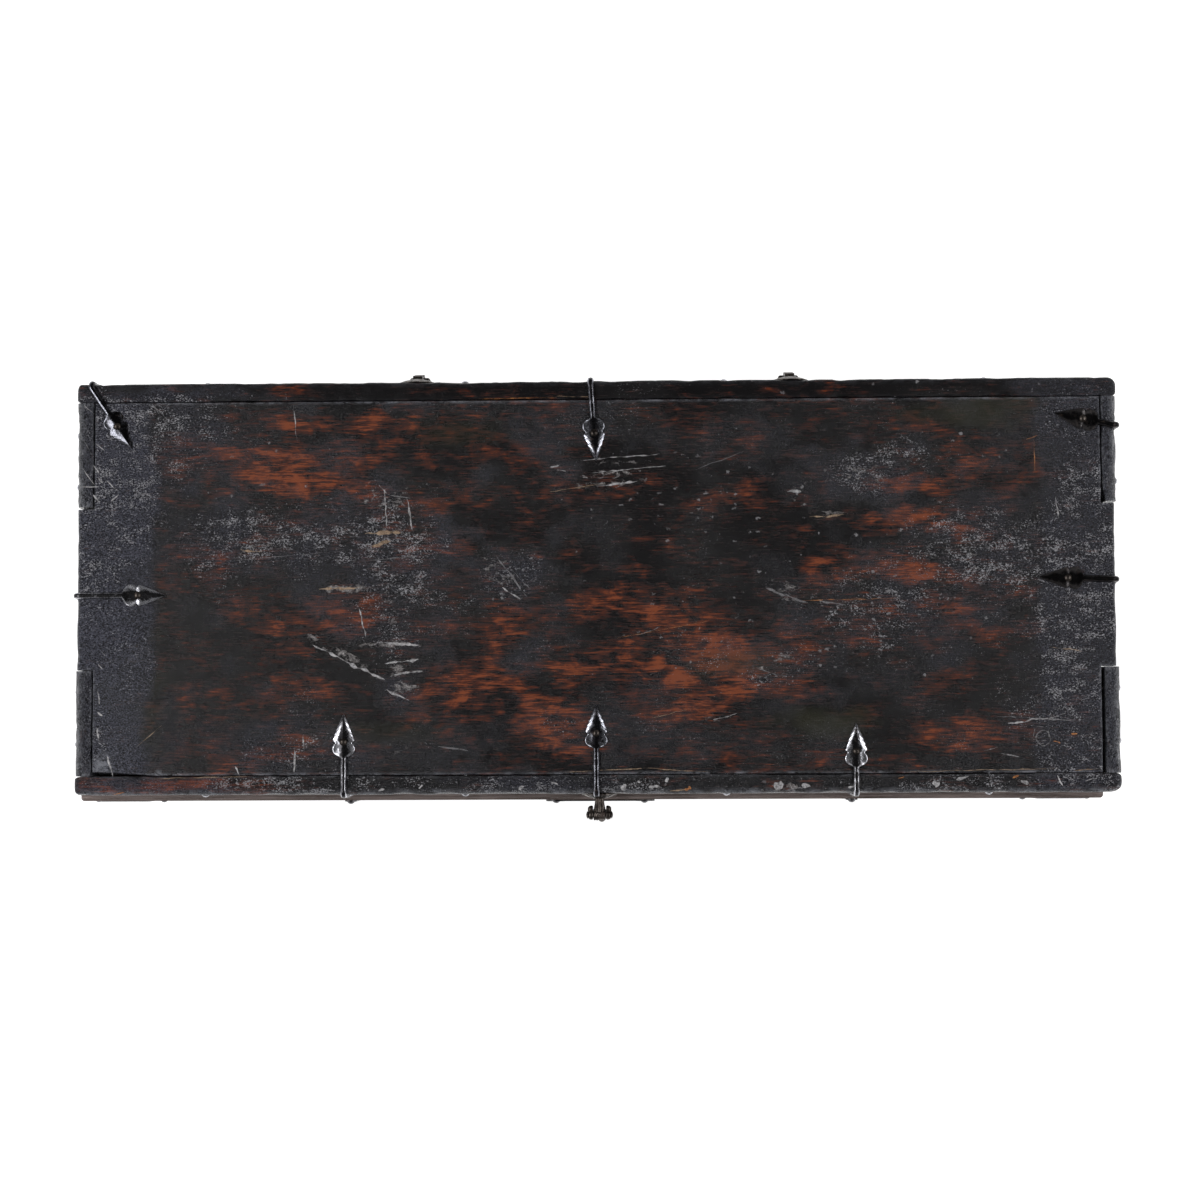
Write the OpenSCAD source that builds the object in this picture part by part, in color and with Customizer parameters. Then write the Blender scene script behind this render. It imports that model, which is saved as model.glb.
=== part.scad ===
// Storage chest: boarded carcass, one-plank lid with rails, forged straps, hinges, hasp, lock and bails.
// Millimetres. The origin is on the floor under the middle of the body, +X right, +Y back, +Z up.

/* [Body] */
// Length of the body, left to right
body_l = 1196; // [1000:1:1500]
// Depth of the body, front to back
body_w = 486; // [430:1:620]
// Height of the body's walls above the floor
body_h = 480; // [420:1:600]
// Thickness of the front and back boards
wall_t = 25; // [22:1:32]
// Thickness of the end boards
end_t = 25; // [20:1:32]
// Thickness of the bottom boards
floor_t = 18; // [14:1:25]
// Height of the bottom boards' underside above the floor
floor_z = 32; // [25:1:60]
// Number of bottom boards
floor_boards = 3; // [2:1:5]
// Width of each bearer under the bottom boards
bearer_w = 60; // [40:1:90]
// Rounding of the body's upright corners
corner_r = 4; // [2:0.5:8]

/* [Plinth] */
// Height of the plinth moulding
plinth_h = 60; // [45:1:80]
// Thickness of the plinth moulding
plinth_t = 12; // [8:1:15]
// Radius of the hollow along the top of the moulding
plinth_cove = 8; // [4:0.5:10]

/* [Lid] */
// How far each end of the lid's rails would reach past the body with the lid in the middle
lid_over = 4; // [2:0.5:6]
// How far the lid's front face lies behind the body's front
lid_front_in = 8; // [4:1:12]
// Height of the lid's rails
lid_h = 50; // [44:1:60]
// How far the lid stands to the right of the body
lid_shift = 8; // [-10:1:10]
// Thickness of the lid's plank
plank_t = 30; // [28:1:36]
// Thickness of the front rail
rail_front_t = 22; // [18:1:28]
// Thickness of the back rail
rail_back_t = 22; // [18:1:28]
// Length of each corner return
return_l = 121; // [90:1:140]
// Thickness of the two left returns
return_left_t = 20; // [15:1:26]
// Thickness of the two right returns
return_right_t = 18; // [15:1:26]
// How far the plank's left end lies inside the returns' outer face
plank_in_left = 1; // [0:0.5:6]
// How far the plank's right end lies inside the returns' outer face
plank_in_right = 3; // [0:0.5:6]
// Rounding of the lid's outer top edges
edge_r = 5; // [3:0.5:8]
// Seam between the plank and the rails and returns
seam = 0.8; // [0.4:0.1:0.9]
// Running gap between the lid and the body
lid_gap = 0.5; // [0.3:0.1:1]

/* [Straps] */
// Width of a strap's rod
rod_w = 7.5; // [6:0.5:10]
// Height of a strap's rod
rod_h = 4; // [3:0.5:6]
// Length of a strap's leaf
leaf_l = 46; // [36:1:56]
// Width of a strap's leaf
leaf_w = 24; // [18:1:30]
// Thickness of a leaf and of a foot
leaf_t = 2.4; // [1.6:0.2:3.4]
// Diameter of the round foot that ends a strap on an edge's face
foot_d = 14; // [12:1:18]
// Length of the straps on the body's front
body_strap_l = 150; // [110:1:180]
// Length of each arm of a corner iron
corner_arm = 112; // [90:1:130]
// Height of the lower corner irons
corner_low_z = 130; // [110:1:160]
// Depth of the upper corner irons under the body's top
corner_high_drop = 82; // [60:1:110]

/* [Nails] */
// Diameter of a nail's domed head
nail_head = 9; // [6:0.5:11]
// Height of a nail's domed head
nail_h = 2.6; // [1.6:0.2:4]
// Diameter of a nail's shank
nail_d = 3.4; // [2.6:0.2:4]
// Length of a nail's shank
nail_l = 20; // [14:1:21]
// Length of the shanks that reach through one board into the next one's edge
long_nail_l = 50; // [40:1:60]
// Room between a shank and the hole it stands in
fit = 0.3; // [0.2:0.1:0.6]

/* [Hinges] */
// Places of the two hinges along the lid
hinge_left_x = -199; // [-260:1:-150]
hinge_right_x = 236; // [150:1:260]
// Distance of the hinge axis behind the chest's back
hinge_out = 9; // [8:0.5:12]
// Diameter of the bar that the lid's eyes turn on
bar_d = 6; // [5:0.5:7]
// Room between the bar and the eye
run = 0.5; // [0.3:0.1:0.8]
// Wall of the eye round the bar
eye_wall = 3; // [2.5:0.5:4]
// Width of a hinge eye
eye_w = 11; // [9:0.5:14]
// Thickness of the rod that bends down to the eye
eye_arm_t = 5; // [4:0.5:6]
// Height of a rosette's centre above the lid's lower edge, and below the body's top
rosette_off = 25; // [24:0.5:27]
// Diameter of a rosette
rosette_d = 46; // [38:1:46]
// Height of a rosette's dome
rosette_h = 6; // [4:0.5:7]
// Length of the spikes that hold the lid's eyes, past the rail
spike_in = 40; // [25:1:60]
// Length of a clinched end inside the chest
clinch_l = 20; // [14:1:26]

/* [Hasp] */
// Place of the hasp and the lock along the chest
hasp_x = 12; // [-20:1:20]
// Distance of the hasp's pin in front of the lid's rail
hasp_out = 25; // [23:0.5:30]
// Height of the hasp's pin above the lid's lower edge
pin_up = 24; // [23.5:0.5:24]
// Diameter of the hasp's pin
pin_d = 6; // [5:0.5:7]
// Width of the fixed eye between the hasp's cheeks
hasp_eye_w = 12; // [10:0.5:14]
// Diameter of the rosette behind the hasp
hasp_rosette_d = 42; // [36:1:42]
// Width of the hasp's blade
blade_w = 22; // [18:1:28]
// Thickness of the hasp's blade
blade_t = 4; // [3:0.5:5]
// Distance from the pin to the bend of the blade
blade_top = 66; // [60:1:72]
// Length of the blade's straight stretch below the bend
blade_low = 34; // [30:1:42]
// Length of the lily that ends the hasp
lily_l = 30; // [24:1:36]
// Gap left between the blade and the lock plate when the hasp is home
home_gap = 0.5; // [0.3:0.1:1]
// How far the loop stands off the back of the blade
loop_l = 11; // [10.5:0.5:12]
// Width of the loop, along the bolt
loop_w = 6; // [5:0.5:7]
// Height of the loop's hole
loop_hole = 7; // [6.5:0.5:8]
// Thickness of the loop's legs and of its end
loop_t = 2.5; // [2:0.5:3]
// Distance of the loop below the bend
loop_below = 14; // [12:1:18]
// Outward turn of the lily that ends the hasp
lily_turn = 5; // [0:1:14]
// Turn that brings the hanging hasp's weight under its pin
hang = 1.8; // [0:0.1:2]

/* [Lock] */
// Width of the lock plate
plate_w = 128; // [122:1:140]
// Height of the lock plate above the loop's slot
plate_up = 44; // [42:1:50]
// Height of the lock plate below the loop's slot
plate_down = 60; // [56:1:70]
// Thickness of the lock plate
plate_t = 2.5; // [2:0.5:3]
// Radius of the lobes at the plate's corners
lobe_r = 12; // [10:1:15]
// Depth of the recess for the lock in the front board
recess_d = 13; // [12.5:0.5:15]
// Width of the slot for the loop
slot_w = 11; // [10:0.5:13]
// Height of the slot for the loop
slot_h = 20; // [18:0.5:22]
// Thickness of the bolt
bolt_t = 4; // [3:0.5:4.5]
// Height of the bolt's body
bolt_h = 12; // [10:0.5:14]
// Height of the bolt's nose
nose_h = 5; // [4:0.5:5.5]
// Length of the bolt's body
bolt_l = 18; // [14:1:20]
// Length of the bolt's nose
nose_l = 17; // [16:1:20]
// Travel of the bolt
bolt_travel = 14; // [13:0.5:15]
// Room round the bolt
bolt_gap = 0.5; // [0.3:0.1:0.6]
// Thickness of the plate at the back of the lock
backplate_t = 2; // [1.5:0.5:2.5]
// Distance of the keyhole below the slot
key_below = 30; // [26:1:34]
// Diameter of the keyhole's round part
key_d = 9; // [7:0.5:11]
// Width of the keyhole's slit
key_slit = 5; // [4.6:0.2:6]
// Length of the keyhole's slit
key_slit_l = 16; // [12:1:18]

/* [Handles] */
// Height of the bails' pivots above the floor
bail_z = 330; // [260:1:380]
// Distance between the middles of the two eyes of a bail
bail_eyes = 120; // [100:1:160]
// Distance of a bail's pivots from the end board
bail_out = 16; // [15:0.5:22]
// Diameter of a bail's rod
bail_d = 10; // [8:0.5:12]
// Drop of the bail's grip below its pivots
bail_drop = 62; // [54:1:80]
// Diameter of the swelling in the middle of the grip
grip_d = 14; // [12:0.5:18]
// Width of a bail's eye
bail_eye_w = 8; // [6:0.5:10]
// Diameter of the rosettes under the bails' eyes
bail_rosette_d = 40; // [34:1:46]

/* [Hidden] */
$fn = 48;

dark_wood = "#33221c";
raw_wood = "#76604e";
iron = "#2b2b2e";
eps = 0.01;

// Faces of the body, and the inside between its boards
body_x = body_l / 2;
body_y = body_w / 2;
inner_x = body_x - end_t;
inner_y = body_w / 2 - wall_t;

// Faces of the lid, which lies flush with the back of the body
lid_l = body_l + 2 * lid_over;
lid_w = body_w - lid_front_in;
lid_x0 = lid_shift - lid_l / 2;
lid_x1 = lid_shift + lid_l / 2;
lid_y1 = body_y;
lid_y0 = lid_y1 - lid_w;
lid_z0 = body_h + lid_gap;
lid_z1 = lid_z0 + lid_h;
plank_x0 = lid_x0 + plank_in_left;
plank_x1 = lid_x1 - plank_in_right;
plank_y0 = lid_y0 + rail_front_t + seam;
plank_y1 = lid_y1 - rail_back_t - seam;
plank_z0 = lid_z1 - plank_t;

// The tongues on the end boards fill the lid's ends between the returns
tongue_gap = 2;
tongue_y0 = plank_y0 + return_l + tongue_gap;
tongue_y1 = plank_y1 - return_l - tongue_gap;
tongue_z = plank_z0 - lid_gap;

// Hinge axis, parallel to X
axis_y = body_y + hinge_out;
axis_z = body_h + lid_gap / 2;
eye_r = bar_d / 2 + run + eye_wall;
leg_x = eye_w / 2 + run + bar_d / 2;
spike_w = eye_w - 3;
upper_z = lid_z0 + rosette_off;
lower_z = body_h - rosette_off;
hinge_x = [hinge_left_x, hinge_right_x];

// Hasp pivot, and the turn that lays the lower blade flat on the lock plate
pin_y = lid_y0 - hasp_out;
pin_z = lid_z0 + pin_up;
plate_y = -body_y - plate_t;
cheek_gap = 1.6;
cheek_in = hasp_eye_w / 2 + cheek_gap;
cheek_t = 6;
cheek_r = 5.6;
volute_r = 4.6;
volute_back = 6.4;
bend_swell = 0.4;
hasp_eye_r = pin_d / 2 + run + eye_wall;
home_turn = asin((plate_y - home_gap - pin_y - blade_t / 2) / blade_top);
loop_z = pin_z - blade_top * cos(home_turn) - loop_below;

// Nails of the lock plate, one in each lobe
lobe_x = plate_w / 2 - lobe_r;
lobe_z = [loop_z + plate_up - lobe_r, loop_z - plate_down + lobe_r];
lock_sites = [for (sx = [-1, 1], z = lobe_z) [[hasp_x + sx * lobe_x, plate_y, z], "front"]];

// Lock, in a recess of the front board behind the plate and between its nails
nail_room = 5;
recess_rim = 10;
recess_y = -body_y + recess_d;
recess_w = 2 * (lobe_x - nail_room);
recess_z0 = loop_z - key_below - key_slit_l - nail_room;
recess_z1 = loop_z + plate_up - recess_rim;
bolt_y = -body_y + bolt_gap;
bolt_x = hasp_x - slot_w / 2 - 1.5;
guide_h = 4;
key_z = loop_z - key_below;

// Straps on the lid: side, place along it, reach from the edge, skew, drop on the face.
// The front centre one ends on the edge, at the rim of the hasp's rosette.
front_drop = lid_h - 6;
rosette_drop = edge_r;
end_drop = plank_t - 3;
// The two straps at the back corners keep their distance from the corner
corner_strap_left_in = 17;
corner_strap_right_in = 56;
lid_straps = [
  ["front", -282, 93, 0, front_drop],
  ["front", 9, 102, 0, rosette_drop],
  ["front", 307, 80, 0, front_drop],
  ["back", lid_x0 + corner_strap_left_in, 92, 34, front_drop],
  ["back", 4, 94, 4, front_drop],
  ["right", lid_y1 - corner_strap_right_in, 72, -12, front_drop],
  ["left", -4, 104, 0, end_drop],
  ["right", 9, 88, -2, end_drop]
];
end_strap_left = 6;
end_strap_right = 7;
elbow_swell = 0.3;
body_strap_x = [lid_straps[0][1], lid_straps[2][1]];

function rot2(p, a) = [p[0] * cos(a) - p[1] * sin(a), p[0] * sin(a) + p[1] * cos(a)];
function turn(face) = face == "front" ? [90, 0, 0]
  : face == "back" ? [-90, 0, 0]
  : face == "left" ? [0, -90, 0]
  : face == "right" ? [0, 90, 0]
  : [0, 0, 0];
function side_angle(side) = side == "back" ? 180 : side == "left" ? -90 : side == "right" ? 90 : 0;
function normal(side) = rot2([0, -1], side_angle(side));

// Where a strap crosses its edge; the end straps cross the plank's own ends
function edge_point(s) = s[0] == "front" ? [s[1], lid_y0]
  : s[0] == "back" ? [s[1], lid_y1]
  : s[0] == "left" ? [plank_x0, s[1]]
  : [s[4] == end_drop ? plank_x1 : lid_x1, s[1]];
leaf_nail_at = 0.3 * leaf_l;
function leaf_site(s) = let (d = s[2] - leaf_l + leaf_nail_at - edge_r,
    p = edge_point(s) + rot2([-sin(s[3]) * d, edge_r + cos(s[3]) * d], side_angle(s[0])))
  [[p[0], p[1], lid_z1 + leaf_t], "top"];
function foot_site(s) = let (p = edge_point(s) + leaf_t * normal(s[0]))
  [[p[0], p[1], lid_z1 - s[4] + foot_d / 2], s[0]];
lid_strap_sites = concat([for (s = lid_straps) leaf_site(s)],
  [for (s = lid_straps) if (s[4] > rosette_drop) foot_site(s)]);

// Nails that hold the returns and the rails to the plank
rail_nail_inset = 150;
rail_nail_z = lid_z1 - plank_t / 2;
return_nails = [0.3, 0.8] * return_l;
rail_nail_x = [for (k = [0:3]) lid_x0 + rail_nail_inset + k * (lid_l - 2 * rail_nail_inset) / 3];
lid_rail_sites = concat(
  [for (x = rail_nail_x) [[x, lid_y0, rail_nail_z], "front"]],
  [for (x = rail_nail_x) [[x, lid_y1, rail_nail_z], "back"]],
  [for (d = return_nails) [[lid_x0, plank_y0 + d, rail_nail_z], "left"]],
  [for (d = return_nails) [[lid_x0, plank_y1 - d, rail_nail_z], "left"]],
  [for (d = return_nails) [[lid_x1, plank_y0 + d, rail_nail_z], "right"]],
  [[[lid_x1, plank_y1 - return_nails[1], rail_nail_z], "right"]]
);

// Nails through the front and back boards into the ends, between the corner irons
corner_high_z = body_h - corner_high_drop;
carcass_z = [0.2, 0.45, 0.62, 0.93] * body_h;
carcass_sites = [for (sx = [-1, 1], z = carcass_z, f = ["front", "back"])
  [[sx * (body_x - end_t / 2), f == "front" ? -body_y : body_y, z], f]];

// Nails through the plinth
plinth_nail_z = plinth_h * 0.45;
plinth_nail_x = [-0.86, -0.43, 0, 0.43, 0.86] * body_x;
plinth_nail_y = [-0.6, 0, 0.6] * body_y;
plinth_sites_front = [for (x = plinth_nail_x) [[x, -body_y - plinth_t, plinth_nail_z], "front"]];
plinth_sites_back = [for (x = plinth_nail_x) [[x, body_y + plinth_t, plinth_nail_z], "back"]];
plinth_sites_left = [for (y = plinth_nail_y) [[-body_x - plinth_t, y, plinth_nail_z], "left"]];
plinth_sites_right = [for (y = plinth_nail_y) [[body_x + plinth_t, y, plinth_nail_z], "right"]];
plinth_sites = concat(plinth_sites_front, plinth_sites_back, plinth_sites_left, plinth_sites_right);

// Straps on the body's front, and the irons round its upright corners
strap_top = body_h - 7;
arm_nail = corner_arm - leaf_l + leaf_nail_at;
iron_sites = concat(
  [for (x = body_strap_x) [[x, -body_y - leaf_t, strap_top - foot_d / 2], "front"]],
  [for (x = body_strap_x) [[x, -body_y - leaf_t, strap_top - body_strap_l + leaf_l - leaf_nail_at], "front"]],
  [for (sx = [-1, 1], sy = [-1, 1], z = [corner_low_z, corner_high_z])
    [[sx * (body_x - arm_nail), sy * (body_y + leaf_t), z], sy < 0 ? "front" : "back"]],
  [for (sx = [-1, 1], sy = [-1, 1], z = [corner_low_z, corner_high_z])
    [[sx * (body_x + leaf_t), sy * (body_y - arm_nail), z], sx < 0 ? "left" : "right"]]
);

module at(site) { translate(site[0]) rotate(turn(site[1])) children(); }

// Cap of a sphere, standing on z = 0
module dome(d, h) {
  r = (d * d / 4 + h * h) / (2 * h);
  rotate_extrude($fn = 72) intersection() {
    translate([0, h - r]) circle(r = r, $fn = 288);
    square([d, h + 1]);
  }
}

module nails(sites, l = nail_l) {
  for (s = sites) at(s) {
    dome(nail_head, nail_h);
    translate([0, 0, -l]) cylinder(d = nail_d, h = l + nail_h / 2, $fn = 24);
  }
}

// Room for nails: the shank's hole, and the space round the head that a strap's crest leaves
module nail_holes(sites, l = nail_l) {
  for (s = sites) at(s) {
    translate([0, 0, -l - 1]) cylinder(d = nail_d + fit, h = l + 1 + eps, $fn = 24);
    cylinder(d = nail_head + fit, h = nail_h + rod_h, $fn = 32);
  }
}

// Bar of a strap, lying on z = 0 along +Y, with flat flanks under a narrow crest
module rod_section() {
  polygon([[-rod_w / 2, 0], [rod_w / 2, 0], [rod_w / 2, rod_h / 4], [rod_w / 7, rod_h],
    [-rod_w / 7, rod_h], [-rod_w / 2, rod_h / 4]]);
}

module rod(l) { rotate([90, 0, 0]) mirror([0, 0, 1]) linear_extrude(l) rod_section(); }

// Half width of a leaf at u, from 0 at its base to 1 at its tip: a round base drawn in to a slender point
function leaf_half(u) = leaf_w / 2 * pow(max(0, sin(180 * sqrt(u))), 1 + 1.5 * u);

module leaf() {
  steps = 16;
  linear_extrude(leaf_t) polygon(concat(
    [for (i = [0:steps]) [leaf_half(i / steps), leaf_l * i / steps]],
    [for (i = [steps - 1:-1:1]) [-leaf_half(i / steps), leaf_l * i / steps]]));
  // Rib from behind the nail to the tip
  rib_at = 0.5 * leaf_l;
  rotate([90, 0, 90]) translate([0, 0, -rod_w / 7]) linear_extrude(2 * rod_w / 7)
    polygon([[rib_at, 0], [leaf_l * 0.95, 0], [leaf_l * 0.95, leaf_t], [rib_at + 3, rod_h], [rib_at, rod_h]]);
}

// Straight strap of length l along +Y with its leaf at the far end
module strap_run(l) {
  rod(l - leaf_l + 0.1 * leaf_l);
  translate([0, l - leaf_l, 0]) leaf();
}

module foot() { cylinder(d = foot_d, h = leaf_t); }

// Strap over a rounded edge along X: the top is z = 0, the face is y = 0, the run goes towards +Y
module strap(reach, skew, drop) {
  translate([0, edge_r, 0]) rotate(skew) {
    strap_run(reach - edge_r);
    cylinder(r1 = rod_w / 2 + elbow_swell, r2 = rod_w / 7 + elbow_swell, h = rod_h + elbow_swell);
  }
  translate([0, edge_r, -edge_r]) rotate([180, 0, 0]) rotate([0, 90, 0])
    rotate_extrude(angle = 90) translate([edge_r, 0]) rotate(-90) rod_section();
  if (drop > rosette_drop) translate([0, 0, foot_d / 2 - drop]) rotate([90, 0, 0]) {
    rod(drop - foot_d / 2 - edge_r);
    foot();
  }
}

module lid_strap(i) {
  s = lid_straps[i];
  p = edge_point(s);
  color(iron) difference() {
    translate([p[0], p[1], lid_z1]) rotate(side_angle(s[0])) strap(s[2], s[3], s[4]);
    nail_holes(s[4] > rosette_drop ? [leaf_site(s), foot_site(s)] : [leaf_site(s)]);
  }
}

// Board along +X with a rounded top front edge, from its lower front corner
module edged_board(l, t, h) {
  rotate([90, 0, 90]) linear_extrude(l) difference() {
    square([t, h]);
    translate([0, h - edge_r]) difference() {
      translate([-1, 0]) square([edge_r + 1, edge_r + 1]);
      translate([edge_r, 0]) circle(r = edge_r);
    }
  }
}

module front_board() {
  color(dark_wood) difference() {
    translate([-body_x, -body_y, 0]) board_with_corners();
    lock_recess();
    nail_holes(carcass_sites, long_nail_l);
    nail_holes(concat(plinth_sites_front, iron_sites, lock_sites));
  }
}

// Front or back board with its two outer upright corners rounded, its outer face on y = 0
module board_with_corners() {
  linear_extrude(body_h) difference() {
    square([body_l, wall_t]);
    for (k = [0, 1]) translate([k * body_l, 0]) mirror([k, 0]) difference() {
      translate([-1, -1]) square(corner_r + 1);
      translate([corner_r, corner_r]) circle(r = corner_r);
    }
  }
}

module lock_recess() {
  translate([hasp_x - recess_w / 2, -body_y - 1, recess_z0]) cube([recess_w, recess_d + 1, recess_z1 - recess_z0]);
}

module back_board() {
  color(dark_wood) difference() {
    translate([body_x, body_y, 0]) rotate(180) board_with_corners();
    nail_holes(carcass_sites, long_nail_l);
    nail_holes(concat(plinth_sites_back, iron_sites));
    for (x = hinge_x) translate([x, axis_y, axis_z]) staple(bar_d + fit);
  }
}

module end_board(s) {
  color(dark_wood) difference() {
    union() {
      translate([s < 0 ? -body_x : inner_x, -inner_y, 0]) cube([end_t, 2 * inner_y, body_h]);
      translate([s < 0 ? -body_x : inner_x, tongue_y0, 0]) cube([end_t, tongue_y1 - tongue_y0, tongue_z]);
    }
    nail_holes(carcass_sites, long_nail_l);
    nail_holes(concat(iron_sites, s < 0 ? plinth_sites_left : plinth_sites_right));
    for (k = [-1, 1]) translate([s * (body_x + bail_out), k * bail_eyes / 2, bail_z])
      rotate(s < 0 ? 180 : 0) bail_shank(bail_shank_d + fit);
  }
}

module bottom_boards() {
  w = (2 * inner_y - (floor_boards - 1) * seam) / floor_boards;
  color(raw_wood) for (i = [0:floor_boards - 1])
    translate([-inner_x, -inner_y + i * (w + seam), floor_z]) cube([2 * inner_x, w, floor_t]);
}

module bottom_bearers() {
  color(raw_wood) for (x = [-0.8, 0, 0.8] * inner_x)
    translate([x - bearer_w / 2, -inner_y, 0]) cube([bearer_w, 2 * inner_y, floor_z]);
}

// Moulding along +X standing out to -Y from y = 0, with a hollow along its top
module moulding(l) {
  rotate([90, 0, 90]) linear_extrude(l) difference() {
    translate([-plinth_t, 0]) square([plinth_t, plinth_h]);
    translate([-plinth_t, plinth_h]) circle(r = plinth_cove);
  }
}

module plinth_long(s) {
  color(dark_wood) difference() {
    rotate(s < 0 ? 0 : 180) translate([-body_x - plinth_t, -body_y, 0]) moulding(body_l + 2 * plinth_t);
    nail_holes(s < 0 ? plinth_sites_front : plinth_sites_back);
  }
}

module plinth_end(s) {
  color(dark_wood) difference() {
    rotate(s < 0 ? -90 : 90) translate([-body_y, -body_x, 0]) moulding(body_w);
    nail_holes(s < 0 ? plinth_sites_left : plinth_sites_right);
  }
}

module body_strap(x) {
  color(iron) difference() {
    translate([x, -body_y, strap_top - foot_d / 2]) rotate([-90, 0, 0]) mirror([0, 0, 1]) {
      foot();
      strap_run(body_strap_l - foot_d / 2);
    }
    nail_holes(iron_sites);
  }
}

// Two irons round one upright corner, their elbows on the corner's rounding
module corner_irons(sx, sy) {
  color(iron) difference() {
    for (z = [corner_low_z, corner_high_z]) translate([sx * body_x, sy * body_y, z])
      scale_side(sx, sy) corner_iron_pair();
    nail_holes(iron_sites);
  }
}

// Mirrors what is made for the front left corner to another corner
module scale_side(sx, sy) {
  mirror([sx > 0 ? 1 : 0, 0, 0]) mirror([0, sy > 0 ? 1 : 0, 0]) children();
}

// Both arms and the elbow of a corner iron at the front left corner, which is at the origin
module corner_iron_pair() {
  translate([corner_r, 0, 0]) rotate([90, 0, 0]) rotate(-90) strap_run(corner_arm - corner_r);
  translate([0, corner_r, 0]) rotate([0, -90, 0]) strap_run(corner_arm - corner_r);
  translate([corner_r, corner_r, 0]) rotate(180) rotate_extrude(angle = 90)
    translate([corner_r, 0]) rotate(-90) rod_section();
}

// Plate with a lobe at each corner, pierced for the loop and the key
module lock_plate() {
  color(iron) difference() {
    translate([hasp_x, -body_y, loop_z]) rotate([90, 0, 0]) linear_extrude(plate_t) difference() {
      union() {
        translate([-plate_w / 2 + lobe_r / 2, -plate_down + lobe_r / 2])
          square([plate_w - lobe_r, plate_up + plate_down - lobe_r]);
        for (sx = [-1, 1], z = [plate_up - lobe_r, -plate_down + lobe_r])
          translate([sx * lobe_x, z]) circle(r = lobe_r);
      }
      square([slot_w, slot_h], center = true);
      translate([0, -key_below]) circle(d = key_d);
      translate([-key_slit / 2, -key_below - key_slit_l]) square([key_slit, key_slit_l]);
    }
    nail_holes(lock_sites);
  }
}

// Plate at the back of the recess with the channel that the bolt slides in
module lock_backplate() {
  channel_x = bolt_x - bolt_l - nose_l - 2;
  channel_l = bolt_l + nose_l + 1;
  half = bolt_h / 2 + bolt_gap;
  front = -body_y;
  back = recess_y - backplate_t;
  spring_cut = spring_tip - 4;
  color(iron) difference() {
    union() {
      translate([hasp_x - recess_w / 2, back, recess_z0]) cube([recess_w, backplate_t, recess_z1 - recess_z0]);
      translate([channel_x, bolt_y + bolt_t + bolt_gap, loop_z - half - guide_h])
        cube([channel_l, back - bolt_y - bolt_t - bolt_gap + eps, 2 * (half + guide_h)]);
      for (z = [loop_z - half - guide_h, loop_z + half]) translate([channel_x, front, z])
        cube([channel_l, back - front + eps, guide_h]);
    }
    // Window in the upper guide where the spring bears on the bolt
    translate([spring_cut, front - 1, loop_z + half - eps])
      cube([channel_x + channel_l - spring_cut + 1, back - front + 1, guide_h + 1]);
    // Hole that takes the end of the key
    translate([hasp_x, 0, key_z]) rotate([90, 0, 0]) translate([0, 0, -recess_y - 1])
      cylinder(d = key_slit, h = backplate_t + 2);
  }
}

// Leaf spring that holds the bolt by friction, bent down from its foot on the backplate
spring_tip = bolt_x - bolt_l - 4;
spring_foot = hasp_x + 14;
spring_rise = 18;
spring_t = 1;
spring_w = 3.5;
function spring_z(x) = bolt_h / 2 + bolt_gap + spring_rise * pow((x - spring_tip) / (spring_foot - spring_tip), 2);
module lock_spring() {
  steps = 12;
  xs = [for (i = [0:steps]) spring_tip + (spring_foot - spring_tip) * i / steps];
  color(iron) translate([0, 0, loop_z]) {
    translate([0, bolt_y + bolt_t, 0]) rotate([90, 0, 0]) linear_extrude(spring_w) polygon(concat(
      [for (x = xs) [x, spring_z(x)]],
      [for (i = [steps:-1:0]) [xs[i], spring_z(xs[i]) + spring_t]]));
    foot_z = spring_z(spring_foot);
    translate([spring_foot - 1, bolt_y + bolt_t - spring_w, foot_z - 2])
      cube([7, recess_y - backplate_t - bolt_y - bolt_t + spring_w, 6]);
  }
}

// Sliding bolt: body, nose and the notch that the key's bit turns in
module lock_bolt() {
  color("#55504a") difference() {
    union() {
      translate([bolt_x - nose_l - bolt_l, bolt_y, loop_z - bolt_h / 2]) cube([bolt_l, bolt_t, bolt_h]);
      translate([bolt_x - nose_l - eps, bolt_y, loop_z - nose_h / 2]) cube([nose_l + eps, bolt_t, nose_h]);
    }
    translate([bolt_x - nose_l - bolt_l / 2 - 4, bolt_y - 1, loop_z - bolt_h / 2 - 1]) cube([8, bolt_t + 2, 4]);
  }
}

// Round bar between two points with rounded ends
module link(a, b, d) {
  v = b - a;
  l = norm(v);
  translate(a) rotate([0, acos(v[2] / l), atan2(v[1], v[0])]) cylinder(d = d, h = l, $fn = 32);
  for (p = [a, b]) translate(p) sphere(d = d, $fn = 32);
}

// Staple about its bar along X: two legs go down, through the back board and turn down inside
module staple(d) {
  turn_z = lower_z - axis_z;
  in_y = -hinge_out - wall_t - bar_d / 2 - 0.2;
  link([-leg_x, 0, 0], [leg_x, 0, 0], d);
  for (s = [-leg_x, leg_x]) {
    link([s, 0, 0], [s, 0, turn_z], d);
    link([s, 0, turn_z], [s, in_y, turn_z], d);
    link([s, in_y, turn_z], [s, in_y, turn_z - clinch_l], d);
  }
}

module hinge_staple(x) { color(iron) translate([x, axis_y, axis_z]) staple(bar_d); }

module rosette(d) { dome(d, rosette_h); }

module hinge_rosettes_lower() {
  color(iron) difference() {
    for (x = hinge_x) translate([x, body_y, lower_z]) rotate([-90, 0, 0]) rosette(rosette_d);
    for (x = hinge_x) translate([x, axis_y, axis_z]) staple(bar_d + fit);
  }
}

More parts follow.
